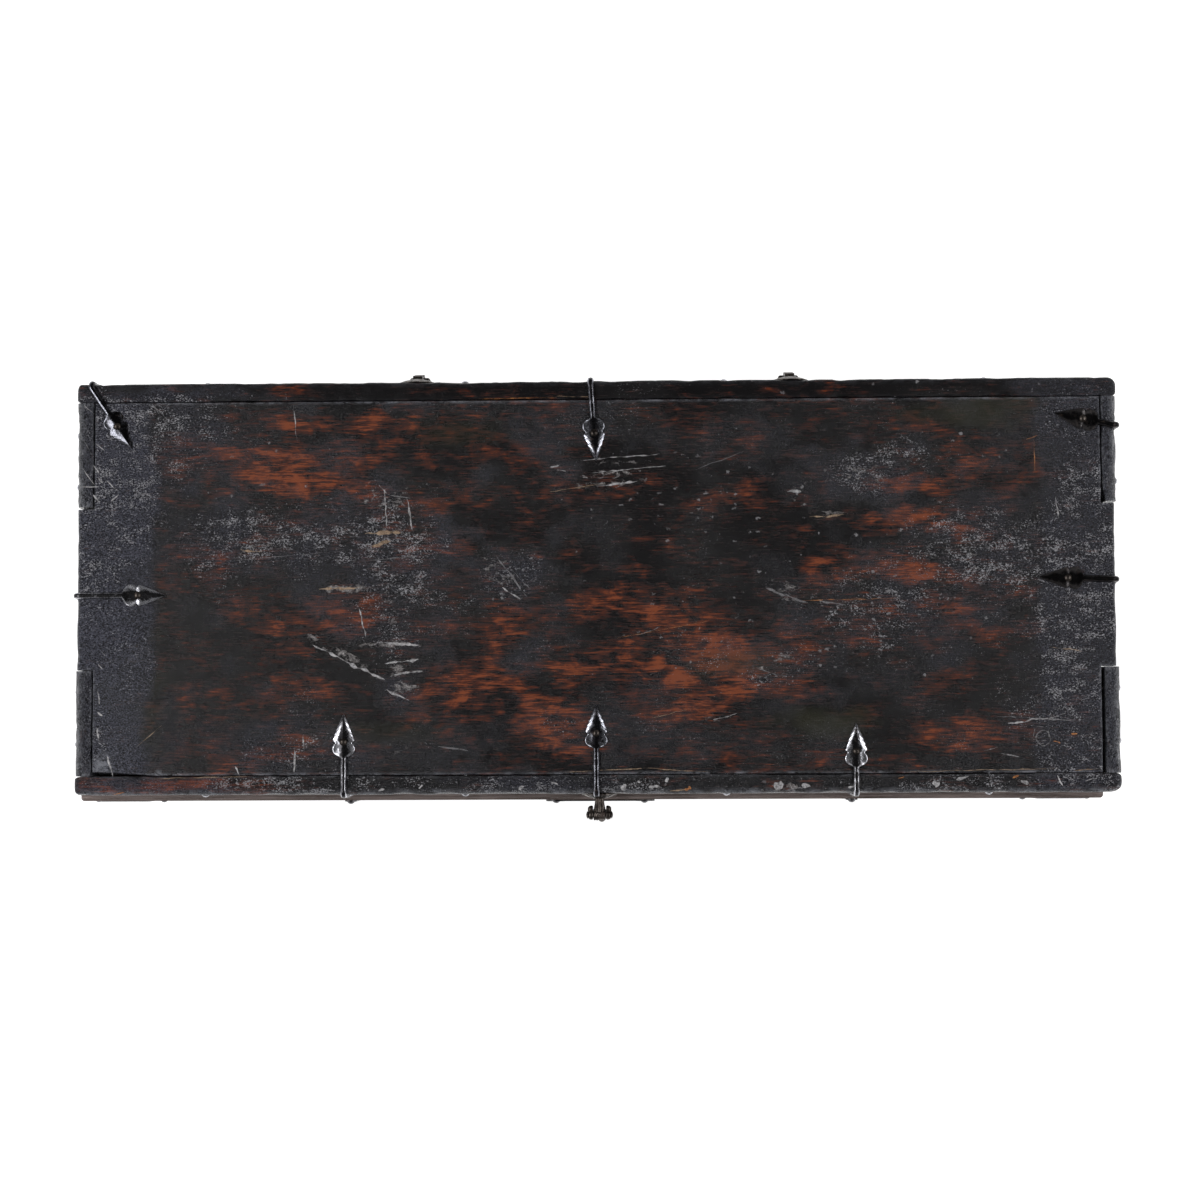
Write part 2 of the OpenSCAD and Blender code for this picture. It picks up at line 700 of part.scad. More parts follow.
// Flat rod, driven through the rail into the plank, that bends down to a closed eye on the hinge axis
module hinge_eye_shape() {
  arm_in = rosette_h - hinge_out + 0.2;
  bend_z = upper_z - axis_z - eye_arm_t / 2;
  spike_y = -hinge_out - rail_back_t - seam - spike_in;
  difference() {
    union() {
      rotate([0, 90, 0]) cylinder(r = eye_r, h = eye_w, center = true);
      translate([-eye_w / 2, arm_in, 0]) cube([eye_w, eye_arm_t, bend_z]);
      translate([-eye_w / 2, arm_in, bend_z]) intersection() {
        rotate([0, 90, 0]) cylinder(r = eye_arm_t, h = eye_w);
        cube([eye_w, eye_arm_t + 1, eye_arm_t + 1]);
      }
      translate([-spike_w / 2, spike_y, bend_z]) cube([spike_w, arm_in - spike_y + eps, eye_arm_t]);
    }
    rotate([0, 90, 0]) cylinder(r = bar_d / 2 + run, h = eye_w + 2, center = true);
  }
}

module hinge_eye(x) { color(iron) translate([x, axis_y, axis_z]) hinge_eye_shape(); }

module hinge_spike_holes() {
  w = spike_w + fit;
  for (x = hinge_x) translate([x - w / 2, plank_y1 - spike_in - fit, upper_z - (eye_arm_t + fit) / 2])
    cube([w, spike_in + rail_back_t + 2 * hinge_out, eye_arm_t + fit]);
}

module hinge_rosettes_upper() {
  color(iron) difference() {
    for (x = hinge_x) translate([x, lid_y1, upper_z]) rotate([-90, 0, 0]) rosette(rosette_d);
    hinge_spike_holes();
  }
}

// Shank of a bail's eye, from the ring at the origin towards the board at -X, clinched inside
bail_shank_d = 7;
bail_rosette_h = 4.5;
bail_eye_bore = bail_d + 2 * run;
module bail_shank(d) {
  in_x = -bail_out - end_t - bail_shank_d / 2 - 0.2;
  link([-bail_eye_bore / 2 - d / 2, 0, 0], [in_x, 0, 0], d);
  link([in_x, 0, 0], [in_x, 0, -clinch_l], d);
}

module bail_eye() {
  difference() {
    union() {
      rotate([90, 0, 0]) cylinder(r = bail_eye_bore / 2 + eye_wall, h = bail_eye_w, center = true);
      bail_shank(bail_shank_d);
    }
    rotate([90, 0, 0]) cylinder(d = bail_eye_bore, h = bail_eye_w + 2, center = true);
  }
}

module handle_eyes(s) {
  color(iron) for (k = [-1, 1]) translate([s * (body_x + bail_out), k * bail_eyes / 2, bail_z])
    rotate(s < 0 ? 180 : 0) bail_eye();
}

module handle_rosettes(s) {
  color(iron) for (k = [-1, 1]) difference() {
    translate([s * body_x, k * bail_eyes / 2, bail_z]) rotate([0, s * 90, 0]) dome(bail_rosette_d, bail_rosette_h);
    translate([s * (body_x + bail_out), k * bail_eyes / 2, bail_z]) rotate(s < 0 ? 180 : 0)
      bail_shank(bail_shank_d + fit);
  }
}

// Bail hanging from its pivots along Y: knobbed stubs, arms, quarter bends and a swelling grip
module bail() {
  arm_y = bail_eyes / 2 - bail_eye_w / 2 - run - bail_d / 2;
  stub_y = bail_eyes / 2 + bail_eye_w / 2 + run;
  bend = 18;
  for (s = [-1, 1]) mirror([0, s < 0 ? 1 : 0, 0]) {
    translate([0, arm_y, 0]) rotate([-90, 0, 0]) cylinder(d = bail_d, h = stub_y - arm_y + 2);
    translate([0, arm_y, 0]) sphere(d = bail_d);
    translate([0, stub_y + 4, 0]) sphere(d = bail_d + 3);
    translate([0, arm_y, -bail_drop + bend]) cylinder(d = bail_d, h = bail_drop - bend);
    translate([0, arm_y - bend, -bail_drop + bend]) rotate([0, 90, 0])
      rotate_extrude(angle = 90) translate([bend, 0]) circle(d = bail_d);
    translate([0, 0, -bail_drop]) rotate([-90, 0, 0]) cylinder(d = bail_d, h = arm_y - bend);
    translate([0, 0, -bail_drop]) rotate([-90, 0, 0]) cylinder(d1 = grip_d, d2 = bail_d, h = 0.45 * arm_y);
    translate([0, 0.5 * arm_y, -bail_drop]) rotate([-90, 0, 0]) cylinder(d = bail_d + 3, h = 3);
  }
}

module handle(s) { color(iron) translate([s * (body_x + bail_out), 0, bail_z]) bail(); }

module lid_plank() {
  color(dark_wood) difference() {
    translate([plank_x0, plank_y0, plank_z0]) intersection() {
      cube([plank_x1 - plank_x0, plank_y1 - plank_y0, plank_t]);
      translate([0, -1, 0]) rounded_slab(plank_x1 - plank_x0, plank_y1 - plank_y0 + 2);
    }
    for (y = [plank_y0 - 1, plank_y1 - return_l - seam]) {
      translate([lid_x0 - 1, y, lid_z0]) cube([return_left_t + seam + 1, return_l + seam + 1, lid_h + 1]);
      translate([lid_x1 - return_right_t - seam, y, lid_z0])
        cube([return_right_t + seam + 1, return_l + seam + 1, lid_h + 1]);
    }
    nail_holes(lid_strap_sites);
    nail_holes(lid_rail_sites, long_nail_l);
    hinge_spike_holes();
    hasp_spike(pin_d + fit);
  }
}

// Slab with its two end top edges rounded
module rounded_slab(l, w) {
  translate([0, w, 0]) rotate([90, 0, 0]) linear_extrude(w) difference() {
    square([l, plank_t]);
    for (k = [0, 1]) translate([k * l, plank_t - edge_r]) mirror([k, 0]) difference() {
      translate([-1, 0]) square([edge_r + 1, edge_r + 1]);
      translate([edge_r, 0]) circle(r = edge_r);
    }
  }
}

module lid_rail_front() {
  color(dark_wood) difference() {
    translate([lid_x0, lid_y0, lid_z0]) edged_board(lid_l, rail_front_t, lid_h);
    nail_holes(lid_strap_sites);
    nail_holes(lid_rail_sites, long_nail_l);
    hasp_spike(pin_d + fit);
  }
}

module lid_rail_back() {
  color(dark_wood) difference() {
    translate([lid_x1, lid_y1, lid_z0]) rotate(180) edged_board(lid_l, rail_back_t, lid_h);
    nail_holes(lid_strap_sites);
    nail_holes(lid_rail_sites, long_nail_l);
    hinge_spike_holes();
  }
}

module lid_return(sx, sy) {
  t = sx < 0 ? return_left_t : return_right_t;
  y0 = sy < 0 ? plank_y0 : plank_y1 - return_l;
  color(dark_wood) difference() {
    translate([sx < 0 ? lid_x0 : lid_x1, y0 + (sx < 0 ? return_l : 0), lid_z0]) rotate(sx < 0 ? -90 : 90)
      edged_board(return_l, t, lid_h);
    nail_holes(lid_strap_sites);
    nail_holes(lid_rail_sites, long_nail_l);
  }
}

// Spike of the hasp's eye, through the front rail into the plank
module hasp_spike(d) {
  translate([hasp_x, pin_y, pin_z]) rotate([-90, 0, 0])
    cylinder(d = d, h = hasp_out + rail_front_t + seam + spike_in, $fn = 32);
}

// Fluted neck that widens from the rosette to the eye
module fluted_neck() {
  start = hasp_out - rosette_h;
  flutes = 9;
  narrow = 5;
  wide = 6.6;
  points = 54;
  translate([0, start, 0]) rotate([90, 0, 0]) linear_extrude(start, scale = wide / narrow)
    polygon([for (i = [0:points - 1]) let (a = 360 * i / points, r = narrow * (1 + 0.1 * cos(flutes * a)))
      [r * cos(a), r * sin(a)]]);
}

module hasp_eye() {
  color(iron) difference() {
    union() {
      difference() {
        hasp_spike(pin_d);
        translate([hasp_x, pin_y - 20, pin_z]) rotate([-90, 0, 0]) cylinder(d = 30, h = 20 + hasp_out - rosette_h);
      }
      translate([hasp_x, pin_y, pin_z]) {
        fluted_neck();
        rotate([0, 90, 0]) cylinder(r = hasp_eye_r, h = hasp_eye_w, center = true);
      }
    }
    translate([hasp_x, pin_y, pin_z]) rotate([0, 90, 0])
      cylinder(d = pin_d + 2 * run, h = hasp_eye_w + 6, center = true);
  }
}

module hasp_rosette() {
  color(iron) difference() {
    translate([hasp_x, lid_y0, pin_z]) rotate([90, 0, 0]) rosette(hasp_rosette_d);
    hasp_spike(pin_d + fit);
  }
}

// Places its children, made about the pin with the blade straight down, in the hanging hasp
module hasp_frame() { translate([hasp_x, pin_y, pin_z]) rotate([hang, 0, 0]) children(); }

// Places its children on the blade below its bend, which stands out by the home turn
module below_bend() { translate([0, 0, -blade_top]) rotate([-home_turn, 0, 0]) children(); }

// Outline of the lily seen from the front, pointing down from z = 0
module lily() {
  translate([-blade_w / 4, -lily_l * 0.7]) square([blade_w / 2, lily_l * 0.7 + 1]);
  for (s = [-1, 1]) translate([s * blade_w * 0.36, -lily_l * 0.33]) circle(d = blade_w * 0.5);
  translate([0, -lily_l * 0.62]) circle(d = blade_w * 0.6);
}

module hasp_blade() {
  top = hasp_eye_r + 1.5;
  color(iron) hasp_frame() difference() {
    union() {
      // Cheeks on the pin, with a volute behind each
      for (s = [-1, 1]) translate([s * (cheek_in + cheek_t / 2), 0, 0]) rotate([0, 90, 0]) {
        cylinder(r = cheek_r, h = cheek_t, center = true);
        translate([-1, volute_back, 0]) cylinder(r = volute_r, h = cheek_t, center = true);
        translate([top / 2 + 1, 0, 0]) cube([top + 2, blade_t + 2, cheek_t], center = true);
      }
      translate([-cheek_in - cheek_t, -blade_t / 2, -top - 9])
        cube([2 * (cheek_in + cheek_t), blade_t, 9]);
      translate([-blade_w / 2, -blade_t / 2, -blade_top]) cube([blade_w, blade_t, blade_top - top - 4]);
      rotate([0, 90, 0]) translate([blade_top, 0, 0]) cylinder(d = blade_t + bend_swell, h = blade_w, center = true);
      below_bend() {
        translate([-blade_w / 2, -blade_t / 2, -blade_low]) cube([blade_w, blade_t, blade_low]);
        translate([0, 0, -blade_low]) rotate([-lily_turn, 0, 0]) {
          translate([0, blade_t / 2, 0]) rotate([90, 0, 0]) linear_extrude(blade_t) lily();
          translate([0, 0, -lily_l * 0.93]) sphere(d = 9);
        }
      }
    }
    rotate([0, 90, 0]) cylinder(d = pin_d + fit, h = 60, center = true);
    below_bend() loop_tenons(fit);
  }
}

module hasp_pin() {
  half = cheek_in + cheek_t;
  color(iron) hasp_frame() rotate([0, 90, 0]) {
    cylinder(d = pin_d, h = 2 * half, center = true);
    for (s = [0, 1]) mirror([0, 0, s]) translate([0, 0, half]) dome(pin_d + 3.4, 2);
  }
}

// Tenons of the loop, riveted through the blade
module loop_tenons(grow) {
  for (s = [-1, 1]) translate([-(loop_w + grow) / 2, -blade_t / 2 - 1,
      -loop_below + s * (loop_hole + loop_t) / 2 - (loop_t + grow) / 2])
    cube([loop_w + grow, blade_t + 2, loop_t + grow]);
}

module hasp_loop() {
  h = loop_hole + 2 * loop_t;
  color(iron) hasp_frame() below_bend() {
    translate([-loop_w / 2, blade_t / 2, -loop_below - h / 2]) difference() {
      cube([loop_w, loop_l, h]);
      translate([-1, -1, loop_t]) cube([loop_w + 2, loop_l - loop_t + 1, loop_hole]);
    }
    intersection() {
      loop_tenons(0);
      translate([-loop_w, -blade_t / 2, -loop_below - h]) cube([2 * loop_w, blade_t + 1, 2 * h]);
    }
  }
}

front_board();
back_board();
end_board(-1);  // end_board_left
end_board(1);  // end_board_right
bottom_boards();
bottom_bearers();
plinth_long(-1);  // plinth_front
plinth_long(1);  // plinth_back
plinth_end(-1);  // plinth_left
plinth_end(1);  // plinth_right
color(iron) nails(plinth_sites);  // plinth_nails
color(iron) nails(carcass_sites, long_nail_l);  // carcass_nails
body_strap(body_strap_x[0]);  // body_strap_left
body_strap(body_strap_x[1]);  // body_strap_right
corner_irons(-1, -1);  // corner_irons_front_left
corner_irons(1, -1);  // corner_irons_front_right
corner_irons(-1, 1);  // corner_irons_back_left
corner_irons(1, 1);  // corner_irons_back_right
color(iron) nails(iron_sites);  // body_iron_nails
lock_plate();
color(iron) nails(lock_sites);  // lock_nails
lock_backplate();
lock_spring();
lock_bolt();
hinge_staple(hinge_left_x);  // hinge_staple_left
hinge_staple(hinge_right_x);  // hinge_staple_right
hinge_rosettes_lower();
handle_eyes(-1);  // handle_eyes_left
handle_eyes(1);  // handle_eyes_right
handle_rosettes(-1);  // handle_rosettes_left
handle_rosettes(1);  // handle_rosettes_right
handle(-1);  // handle_left
handle(1);  // handle_right
lid_plank();
lid_rail_front();
lid_rail_back();
lid_return(-1, -1);  // lid_return_front_left
lid_return(1, -1);  // lid_return_front_right
lid_return(-1, 1);  // lid_return_back_left
lid_return(1, 1);  // lid_return_back_right
color(iron) nails(lid_rail_sites, long_nail_l);  // lid_rail_nails
lid_strap(0);  // lid_strap_front_left
lid_strap(1);  // lid_strap_front_centre
lid_strap(2);  // lid_strap_front_right
lid_strap(3);  // lid_strap_back_left
lid_strap(4);  // lid_strap_back_centre
lid_strap(5);  // lid_strap_back_right
lid_strap(end_strap_left);  // lid_strap_end_left
lid_strap(end_strap_right);  // lid_strap_end_right
color(iron) nails(lid_strap_sites);  // lid_strap_nails
hinge_eye(hinge_left_x);  // hinge_eye_left
hinge_eye(hinge_right_x);  // hinge_eye_right
hinge_rosettes_upper();
hasp_eye();
hasp_rosette();
hasp_blade();
hasp_pin();
hasp_loop();
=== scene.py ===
import math

import bmesh
import bpy
import numpy as np
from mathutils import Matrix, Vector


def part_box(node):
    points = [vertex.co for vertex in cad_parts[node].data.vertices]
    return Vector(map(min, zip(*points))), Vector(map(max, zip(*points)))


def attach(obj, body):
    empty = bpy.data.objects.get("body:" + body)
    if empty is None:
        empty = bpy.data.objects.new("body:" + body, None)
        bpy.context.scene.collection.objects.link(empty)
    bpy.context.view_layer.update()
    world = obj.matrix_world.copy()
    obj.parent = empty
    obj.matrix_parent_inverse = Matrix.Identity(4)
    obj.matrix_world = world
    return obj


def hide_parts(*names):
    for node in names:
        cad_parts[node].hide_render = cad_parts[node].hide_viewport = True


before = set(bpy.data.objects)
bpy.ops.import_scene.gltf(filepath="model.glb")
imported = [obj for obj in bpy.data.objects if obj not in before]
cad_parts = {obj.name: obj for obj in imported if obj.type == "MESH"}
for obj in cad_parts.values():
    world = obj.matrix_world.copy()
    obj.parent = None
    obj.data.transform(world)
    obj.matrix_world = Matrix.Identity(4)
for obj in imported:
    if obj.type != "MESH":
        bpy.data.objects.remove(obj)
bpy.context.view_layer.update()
MM = 0.001
RIGHT_ANGLE = math.pi / 2

# Camera, from the run of the lid's edges in the photograph: place in metres, turn in degrees, lens in
# millimetres
CAMERA_AT = (0.0663, -0.1461, 3.0278)
CAMERA_TURN = (3.066, 1.212, -0.241)
CAMERA_LENS = 65.12
# One point of the lid's top in pixels and in metres, and the side of a pixel there in metres
SEEN_AT, LIES_AT, PIXEL = (600, 717), (0.0105, -0.1445), 1.146e-3


# Numbers that repeat: boxes, points, smooth noise and soft spots on the lid


def box(node):
    """Lowest and highest corner of a CAD node."""
    return [np.array(corner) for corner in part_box(node)]


def points_of(x, y, z):
    """Points from their coordinates, numbers or arrays that fit each other."""
    return np.stack(np.broadcast_arrays(x, y, z), -1)


def fade(distance, reach, full=1.0):
    """Share from full at no distance down to 0 at full times the reach, and never more than 1."""
    return np.clip(full - distance / reach, 0, 1)


def rounding(distance, radius):
    """How far a quarter circle has fallen away at a distance from the edge that it rounds."""
    return radius * (1 - np.sqrt(1 - fade(distance, radius) ** 2))


def outside(value, low, high):
    """How far a coordinate is outside a range."""
    return np.maximum(np.maximum(low - value, value - high), 0)


def circle(count):
    """Angles of even steps round a circle."""
    return np.arange(count) / count * 2 * math.pi


def noise(x, y, cell, seed):
    """Smooth noise from -1 to 1: random heights on a square lattice of side cell, blended across each
    square."""
    table = np.random.default_rng(seed).uniform(-1, 1, (256, 256))
    u, v = np.asarray(x) / cell + 400.5, np.asarray(y) / cell + 400.5
    i, j = np.floor(u).astype(int), np.floor(v).astype(int)
    s, t = u - i, v - j
    s, t = s * s * (3 - 2 * s), t * t * (3 - 2 * t)

    def corner(a, b):
        return table[(i + a) % 256, (j + b) % 256]

    low = corner(0, 0) * (1 - s) + corner(1, 0) * s
    high = corner(0, 1) * (1 - s) + corner(1, 1) * s
    return low * (1 - t) + high * t


def rough(x, y, cell, seed, octaves=3):
    """Sum of noises, each half as large and half as strong as the one before."""
    return sum(noise(x, y, cell / 2**k, seed + k) / 2**k for k in range(octaves))


def on_lid(px, py):
    """Place on the lid's top, in metres, of a pixel of the photograph."""
    return (px - SEEN_AT[0]) * PIXEL + LIES_AT[0], (SEEN_AT[1] - py) * PIXEL + LIES_AT[1]


def patches(*rows):
    """Spots on the lid, in metres, from rows in pixels: middle across and down, both radii, strength, and
    the turn in degrees where there is one."""
    return [(*on_lid(*row[:2]), row[2] * PIXEL, row[3] * PIXEL, *(*row[4:], 0)[:2]) for row in rows]


def spots(x, y, places, ragged=0.35, seed=5):
    """The strongest at each point of several soft ellipses with ragged rims."""
    rim = 1.35
    total = np.zeros(np.broadcast(x, y).shape)
    shaken = ragged * rough(x, y * 1.6, 0.03, seed)
    for px, py, rx, ry, strength, turn in places:
        c, s = math.cos(math.radians(turn)), math.sin(math.radians(turn))
        u, v = ((x - px) * c + (y - py) * s) / rx, (-(x - px) * s + (y - py) * c) / ry
        d = np.hypot(u, v) + shaken
        total = np.maximum(total, np.clip(rim - d, 0, 1) ** 0.8 * (d < rim) * strength)
    return total


# Meshes


def write_shares(mesh, label, shares):
    """Writes one number for each point of a mesh into an attribute."""
    mesh.attributes.new(label, "FLOAT", "POINT").data.foreach_set("value", np.asarray(shares, np.float32))


def places_of(mesh):
    """Places of a mesh's points, one row each."""
    places = np.zeros(len(mesh.vertices) * 3, np.float32)
    mesh.vertices.foreach_get("co", places)
    return places.reshape(-1, 3).astype(float)


def finish_mesh(name, points, faces, body, replaced, material, sharp=40, shares=None):
    """A piece from points and faces: doubles merged, faces outwards, smooth with sharp creases, riding on
    its body."""
    double = 1e-6
    mesh = bpy.data.meshes.new(name)
    mesh.from_pydata(np.asarray(points).tolist(), [], faces)
    # The shares go into the rim attribute: painted highlights and painted shade on the irons
    if shares is not None:
        write_shares(mesh, "rim", shares)
    b = bmesh.new()
    b.from_mesh(mesh)
    bmesh.ops.remove_doubles(b, verts=b.verts, dist=double)
    bmesh.ops.dissolve_degenerate(b, dist=double, edges=b.edges)
    bmesh.ops.recalc_face_normals(b, faces=b.faces)
    b.to_mesh(mesh)
    b.free()
    mesh.polygons.foreach_set("use_smooth", np.ones(len(mesh.polygons), bool))
    mesh.set_sharp_from_angle(angle=math.radians(sharp))
    piece = bpy.data.objects.new(name, mesh)
    bpy.context.scene.collection.objects.link(piece)
    mesh.materials.append(material)
    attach(piece, body)
    if replaced:
        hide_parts(*replaced)
    return piece


class Shells:
    """Closed surfaces gathered into one piece."""

    def __init__(self):
        self.points, self.faces, self.shares, self.count = [], [], [], 0

    def rings(self, grid, share=None):
        """Adds a tube from rings of points, rows x columns x 3, closed at both ends by fans about their
        middles, and gives back the shells. The share, rows x columns, is the painted highlight, where
        positive, and painted shade, where negative, on the metal at each point."""
        grid = np.asarray(grid)
        rows, cols = grid.shape[:2]
        i, j = np.meshgrid(np.arange(rows - 1), np.arange(cols), indexing="ij")
        k = (j + 1) % cols
        quads = np.stack([i * cols + j, i * cols + k, (i + 1) * cols + k, (i + 1) * cols + j], -1)
        self.faces += (quads.reshape(-1, 4) + self.count).tolist()
        self.points += [grid.reshape(-1, 3), np.array([grid[0].mean(0), grid[-1].mean(0)])]
        self.shares.append(np.zeros(rows * cols + 2) if share is None else np.append(np.ravel(share), [0, 0]))
        end = self.count + rows * cols
        for j in range(cols):
            k = (j + 1) % cols
            self.faces.append([self.count + k, self.count + j, end])
            self.faces.append([end - cols + j, end - cols + k, end + 1])
        self.count = end + 2
        return self

    def piece(self, name, body, replaced, material, slot="forged_iron", sharp=40):
        """Makes the piece."""
        points, shares = np.concatenate(self.points), np.concatenate(self.shares)
        shares = shares if shares.any() else None
        return finish_mesh(name, points, self.faces, body, replaced, material, sharp, shares)


def board_section(width, height, outer, radius, step):
    """Section of a board from (0, 0), anticlockwise, in steps, with arcs for corners: the top one on the
    outer side, -1 or 1, has the radius. Gives points, outward normals, and how near each point is to a
    corner, from 0 to 1."""
    radii = (1 * MM, 1 * MM, 1.2 * MM, radius) if outer < 0 else (1 * MM, 1 * MM, radius, 1.2 * MM)
    corners = np.array([(0, 0), (width, 0), (width, height), (0, height)], float)
    points, normals, near = [], [], []
    for k, r in enumerate(radii):
        here = corners[k]
        ahead, back = corners[(k + 1) % 4] - here, corners[k - 1] - here
        side = np.linalg.norm(ahead)
        ahead, back = ahead / side, back / np.linalg.norm(back)
        for f in np.linspace(0, 1, 5):
            out = -ahead * math.sin((1 - f) * RIGHT_ANGLE) - back * math.sin(f * RIGHT_ANGLE)
            out = out / np.linalg.norm(out)
            points.append(here + (ahead + back) * r + out * r)
            normals.append(out)
            near.append(1.0)
        length = side - r - radii[(k + 1) % 4]
        count = max(1, int(round(length / step)))
        for f in np.arange(1, count) / count:
            points.append(here + ahead * (r + length * f))
            normals.append(-back)
            near.append(math.exp(-min(f, 1 - f) * length / (4 * MM)))
    return np.array(points), np.array(normals), np.array(near)


def carry(section, stations, origin, along, across, seed, wave, wear, end_round):
    """Rings of a worn board: the section carried along a line in steps, planed a little unevenly, its
    corners rubbed down where noise is high, and both ends rounded by drawing the last rings in."""
    points, normals, near = section
    t = np.asarray(stations, float)[:, None]
    inset = rounding(np.minimum(t, t.max() - t), end_round)
    s = points[None, :, 0] + 2.7 * points[None, :, 1]
    swell = wave * rough(t, s, 0.09, seed)
    rub = near[None] * wear * np.clip(rough(t, s * 0.3, 0.022, seed + 20) + 0.25, 0, 1.4)
    fine = 0.12 * MM * rough(t, s, 0.006, seed + 40, 2)
    drawn = points[None] + normals[None] * (swell - rub + fine)[..., None]
    drawn = drawn - np.sign(points - points.mean(0))[None] * inset[..., None] * 0.8
    grid = np.asarray(origin, float) + t[..., None] * np.asarray(along, float)
    return grid + drawn[..., :1] * np.asarray(across, float) + drawn[..., 1:] * np.array([0, 0, 1.0])


def stations_along(length, step, end):
    """Places along a board in even steps, closer together at both ends."""
    close = end * np.array([0, 0.1, 0.3, 0.6, 1])
    inner = np.linspace(end, length - end, max(2, int(round(length / step))))
    return np.unique(np.concatenate([close, inner, length - close]))


# Materials


class Value:
    """An output of a node. Sums, differences and products of outputs add the nodes that work them out."""

    def __init__(self, nodes, socket):
        self.nodes, self.socket = nodes, socket

    def __add__(self, other):
        return self.nodes.math("ADD", self, other)

    def __sub__(self, other):
        return self.nodes.math("SUBTRACT", self, other)

    def __rsub__(self, other):
        return self.nodes.math("SUBTRACT", other, self)

    def __mul__(self, other):
        return self.nodes.math("MULTIPLY", self, other)


class Nodes:
    """A short way to write a node tree."""

    def __init__(self, tree):
        self.tree = tree

    def put(self, value, socket):
        """Links an output to a socket, or sets the socket to a number, a vector or a colour."""
        if isinstance(value, Value):
            self.tree.links.new(value.socket, socket)
        else:
            socket.default_value = (*value, 1) if socket.type == "RGBA" else value

    def add(self, kind, values, out=0, **settings):
        """Adds a node with its settings and values. Gives the node if out is None, or else one output or
        several."""
        node = self.tree.nodes.new("ShaderNode" + kind)
        for key, value in settings.items():
            setattr(node, key, value)
        for key, value in values.items():
            self.put(value, node.inputs[key])
        if isinstance(out, tuple):
            return [Value(self, node.outputs[key]) for key in out]
        return node if out is None else Value(self, node.outputs[out])

    def math(self, operation, a, b, clamp=False):
        """A number worked out from two others."""
        return self.add("Math", {0: a, 1: b}, operation=operation, use_clamp=clamp)

    def vector_math(self, operation, a, b):
        """A vector worked out from two others."""
        return self.add("VectorMath", {0: a, 1: b}, operation=operation)

    def stretch(self, vector, scale, turn=(0, 0, 0), shift=(0, 0, 0)):
        """A vector scaled along each axis, turned and shifted."""
        return self.add("Mapping", {"Vector": vector, "Scale": scale, "Rotation": turn, "Location": shift})

    def noise(self, vector, scale, detail=4.0, rough=0.55, distortion=0.0):
        """Noise at one scale, or at a scale of its own along each axis."""
        if isinstance(scale, tuple):
            vector, scale = self.stretch(vector, scale), 1.0
        return self.add("TexNoise", {"Vector": vector, "Scale": scale, "Detail": detail, "Roughness": rough,
                                     "Distortion": distortion})

    def ramp(self, value, low, high, to_low=0.0, to_high=1.0):
        """A value that rises from to_low to to_high while another goes from low to high."""
        return self.add("MapRange", {"Value": value, "From Min": low, "From Max": high, "To Min": to_low,
                                     "To Max": to_high}, clamp=True)

    def mix(self, share, colour, other):
        """A colour, and another one over it in the places where the share is high."""
        return self.add("Mix", {0: share, 6: colour, 7: other}, 2, data_type="RGBA")

    def colours(self, value, *stops):
        """Colours that follow a value, from stops of a value and its colour."""
        node = self.add("ValToRGB", {0: value}, None)
        elements = node.color_ramp.elements
        while len(elements) < len(stops):
            elements.new(0.5)
        for element, (position, colour) in zip(elements, stops):
            element.position, element.color = position, (*colour, 1)
        return Value(self, node.outputs[0])

    def place(self):
        """The object's own coordinates."""
        return self.add("TexCoord", {}, "Object")

    def surface(self, shader, colour, roughness, height, distance):
        """Gives a shader its colour, its roughness and its relief."""
        normal = self.add("Bump", {"Height": height, "Distance": distance, "Strength": 1.0})
        for value, label in ((colour, "Base Color"), (roughness, "Roughness"), (normal, "Normal")):
            self.put(value, shader.inputs[label])


def group(name, inputs, outputs):
    """An empty node group with named sockets; gives the group, its Nodes, its inputs and its output
    sockets."""
    tree = bpy.data.node_groups.new(name, "ShaderNodeTree")
    for way, sockets in (("INPUT", inputs), ("OUTPUT", outputs)):
        for label, kind in sockets.items():
            tree.interface.new_socket(label, in_out=way, socket_type="NodeSocket" + kind)
    n, given = Nodes(tree), tree.nodes.new("NodeGroupInput").outputs
    values = {label: Value(n, given[label]) for label in inputs}
    return tree, n, values, tree.nodes.new("NodeGroupOutput").inputs


# Kinds of wear. The bloom, speckled and rubbed shares also carry painted sheen, painted glints and a painted
# edge highlight of the lamps.
WEAR_KINDS = ("Bare", "Speckled", "Flaked", "Green", "Bloom", "Chips", "Rubbed")


